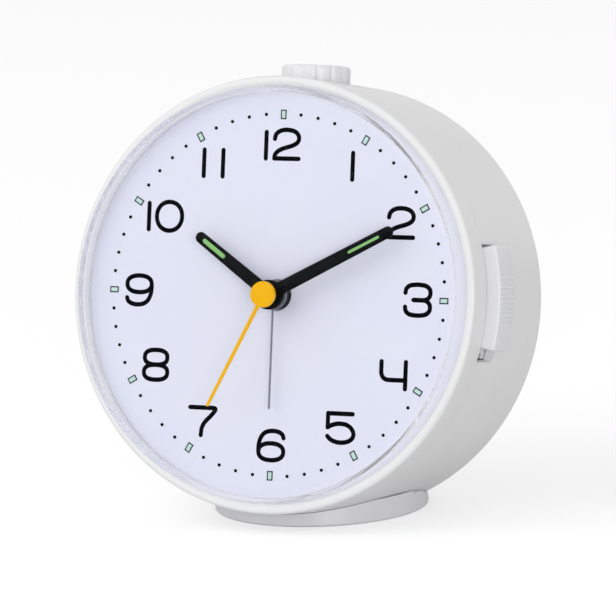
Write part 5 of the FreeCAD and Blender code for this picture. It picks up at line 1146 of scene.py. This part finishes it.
@dataclass
class Slider:
    """Ribbed slider at the side, with an inner flange that fills the slot behind it.

    Angles are degrees from twelve o'clock. Low and high are distances from the hands' axis.
    """

    low: float = 45.7
    high: float = 52.7
    ease: float = 0.5
    hidden_ease: float = 0.05
    front: float = 3.9
    back: float = 12.3
    start: float = 75.6
    end: float = 101.8
    rib_start: float = 83.6
    rib_pitch: float = 1.21
    rib_count: int = 10
    rib_height: float = 0.25
    rib_power: float = 0.7
    rib_rise: float = 0.6
    rib_margin: float = 0.3
    rib_fade: float = 0.2
    guide_low: float = 45.6
    guide_high: float = 47.3
    guide_front: float = 5.9
    guide_back: float = 14.0
    guide_ease: float = 0.1
    guide_before: float = 5.4
    guide_beyond: float = 2.0
    tongue_front: float = 10.8
    tongue_beyond: float = 3.6
    steps: int = 420
    guide_steps: int = 80
    cap_steps: int = 6

    def bend(self, middle: Array, sections: Array, turns: Array) -> Patch:
        """Bends a bar, given by its sections at some angles, round the hands' axis.

        A point of a section at depth d and radius r goes to (r sin a, d, r cos a) at its angle a,
        and each end closes in one point, the middle of the section.
        """
        end = np.broadcast_to(middle, (1, *sections.shape[1:]))
        sections = np.concatenate([end, sections, end])
        return Patch(around(sections[..., 1], np.radians(np.pad(turns, 1, "edge"))[:, None],
                            sections[..., 0]))

    def guide(self, front: float, beyond: float) -> Patch:
        """Bends a flat-ended bar of the inner flange.

        Args:
            front: depth of the bar's front face.
            beyond: angle by which the bar passes the slider's lower end.

        Returns:
            Closed shell of the bar.
        """
        back, low, high = self.guide_back, self.guide_low, self.guide_high
        section = rounded([(front, low), (front, high), (back, high), (back, low)],
                          [self.guide_ease] * 4, 4)
        turns = np.linspace(self.start - self.guide_before, self.end + beyond, self.guide_steps)
        sections = np.repeat(section[None], self.guide_steps, 0)
        return self.bend(section.mean(axis=0), sections, turns)

    def build(self, shop: Workshop) -> None:
        """Bends a rounded bar round the barrel, with grip ribs across its outer face.

        The ribs raise the outer face by a cosine, raised to a power, within half a pitch. At both
        ends the section shrinks as a quarter of a circle does.
        """
        front, back, low, high, ease = self.front, self.back, self.low, self.high, self.ease
        section = rounded([(front, low), (front, high), (back, high), (back, low)],
                          [self.hidden_ease, ease, ease, self.hidden_ease])
        centre = np.array([front + back, low + high]) / 2
        half = np.array([back - front, high - low]) / 2
        turns = np.linspace(self.start, self.end, self.steps)
        phase = (turns - self.rib_start) / self.rib_pitch
        within = (phase > -0.5) & (phase < self.rib_count - 0.5)
        rib = np.where(within, np.clip(np.cos(2 * math.pi * phase), 0, 1) ** self.rib_power, 0.0)
        outer = np.clip((section[:, 1] - high + self.rib_rise) / self.rib_rise, 0, 1)
        inner = half[0] - self.rib_margin - np.abs(section[:, 0] - centre[0])
        outer *= np.clip(inner / self.rib_fade, 0, 1)
        sections = np.repeat(section[None], self.steps, 0)
        sections[..., 1] += self.rib_height * rib[:, None] * outer
        swing = quarter(self.cap_steps)[:-1]
        caps = centre + (section - centre) * (1 - ease * (1 - np.sin(swing))[:, None, None] / half)
        beyond = np.degrees(ease * np.cos(swing) / high)
        squeeze = 1 - 2 * beyond[0] / (self.end - self.start)
        turns = self.start + beyond[0] + (turns - self.start) * squeeze
        turns = np.concatenate([turns[0] - beyond, turns, turns[-1] + beyond[::-1]])
        bar = self.bend(centre, np.concatenate([caps, sections, caps[::-1]]), turns)
        guides = [self.guide(self.guide_front, self.guide_beyond),
                  self.guide(self.tongue_front, self.tongue_beyond)]
        shop.piece("side_slider", [bar, *guides], Slot.white_knob, "alarm_switch",
                   ("alarm_slider",))


# ---- Floor, light and camera

@dataclass(frozen=True)
class Lamp:
    """A square soft lamp in metres and watts."""

    name: str
    place: tuple[float, float, float]
    size: float
    power: float
    aim: tuple[float, float, float] = (0.0, 0.0, 0.05)

    def hang(self) -> None:
        """Hangs the lamp so that it looks at the clock's middle."""
        data = bpy.data.lights.new(self.name, "AREA")
        data.shape, data.size, data.energy = "SQUARE", self.size, self.power
        away = np.subtract(self.place, self.aim)
        away /= np.linalg.norm(away)
        side = np.cross((0, 0, 1), away)
        side /= np.linalg.norm(side)
        lamp = add_object(self.name, data)
        lamp.matrix_world = stance(side, np.cross(away, side), away, np.array(self.place))


@dataclass
class Studio:
    """Pale floor, soft light and the camera."""

    focal_pixels: float = 4839.5
    picture_pixels: float = 616.0
    film_mm: float = 36.0
    axes: tuple[tuple[float, float, float], ...] = (
        (0.913308, 0.405417, 0.038799), (0.033914, 0.019229, -0.999240),
        (-0.405855, 0.913930, 0.003813))
    offset: tuple[float, float, float] = (-6.996, -2.915, 1093.62)
    clip: tuple[float, float] = (0.05, 20.0)
    floor_reach: float = 4.0
    floor_sides: int = 96
    floor_glow: float = 0.4
    surround_seen: float = 1.0
    surround_light: float = 0.56
    lamps: tuple[Lamp, ...] = (Lamp("key_lamp", (-1.05, -1.14, 1.15), 1.8, 9.8),
                               Lamp("fill_lamp", (1.05, -1.69, 0.14), 1.0, 14.0))

    def camera(self) -> None:
        """Stands the camera where the dial and barrel keep the seen proportions."""
        axes = np.array(self.axes)
        place = BARREL.place(-axes.T @ np.array(self.offset))
        right, down, ahead = BARREL.turn(axes)
        data = bpy.data.cameras.new("camera")
        data.sensor_width = self.film_mm
        data.lens = self.focal_pixels / self.picture_pixels * self.film_mm
        data.clip_start, data.clip_end = self.clip
        camera = add_object("camera", data)
        camera.matrix_world = stance(right, -down, -ahead, place)
        bpy.context.scene.camera = camera

    def floor(self) -> None:
        """Lays a round floor that keeps the shadow and looks white beyond it."""
        rim = around(self.floor_reach, full_turn(self.floor_sides), 0.0)[:, [0, 2, 1]]
        mesh = bpy.data.meshes.new("studio_floor")
        mesh.from_pydata(rim.tolist(), [], [list(range(self.floor_sides))[::-1]])
        material = bpy.data.materials.new("floor_paper_white")
        tree = cleared(material)
        seen = add_node(tree, "LightPath").outputs["Is Camera Ray"]
        shader = add_node(tree, "BsdfPrincipled", {
            "Base Color": linear_colour("#EEEEEE"), "Roughness": 0.9, "Specular IOR Level": 0.1,
            "Emission Color": WHITE,
            "Emission Strength": reckoned(tree, "MULTIPLY", seen, self.floor_glow)})
        add_node(tree, "OutputMaterial", {"Surface": shader.outputs["BSDF"]})
        mesh.materials.append(material)
        floor = add_object("studio_floor", mesh)

    def world(self) -> None:
        """Surrounds the clock with even light, white in the picture and in mirror images."""
        world = bpy.data.worlds.new("studio_world")
        tree = cleared(world)
        path = add_node(tree, "LightPath").outputs
        seen = path["Is Camera Ray"]
        for ray in ("Is Glossy Ray", "Is Transmission Ray"):
            seen = reckoned(tree, "MAXIMUM", seen, path[ray])
        first = reckoned(tree, "LESS_THAN", path["Diffuse Depth"], 0.5)
        seen = reckoned(tree, "MULTIPLY", seen, first)
        strength = add_node(tree, "MapRange", {
            "Value": seen, "To Min": self.surround_light, "To Max": self.surround_seen})
        background = add_node(tree, "Background", {
            "Color": WHITE, "Strength": strength.outputs["Result"]})
        add_node(tree, "OutputWorld", {"Surface": background.outputs["Background"]})
        bpy.context.scene.world = world

    def build(self) -> None:
        """Sets up the whole studio."""
        bpy.context.scene.view_settings.view_transform = "Standard"
        self.camera()
        self.floor()
        self.world()
        for lamp in self.lamps:
            lamp.hang()


def main() -> None:
    """Dresses the clock piece by piece and sets up the studio."""
    logging.basicConfig(level=logging.INFO, format="%(name)s: %(message)s")
    shop = Workshop()
    shop.dress_frame()
    for assembly in (Case(), Lens(), Dial(), Hands(), TopButton(), Slider()):
        log.info("assembly %s", type(assembly).__name__)
        assembly.build(shop)
    Studio().build()


if __name__ == "__main__":
    main()
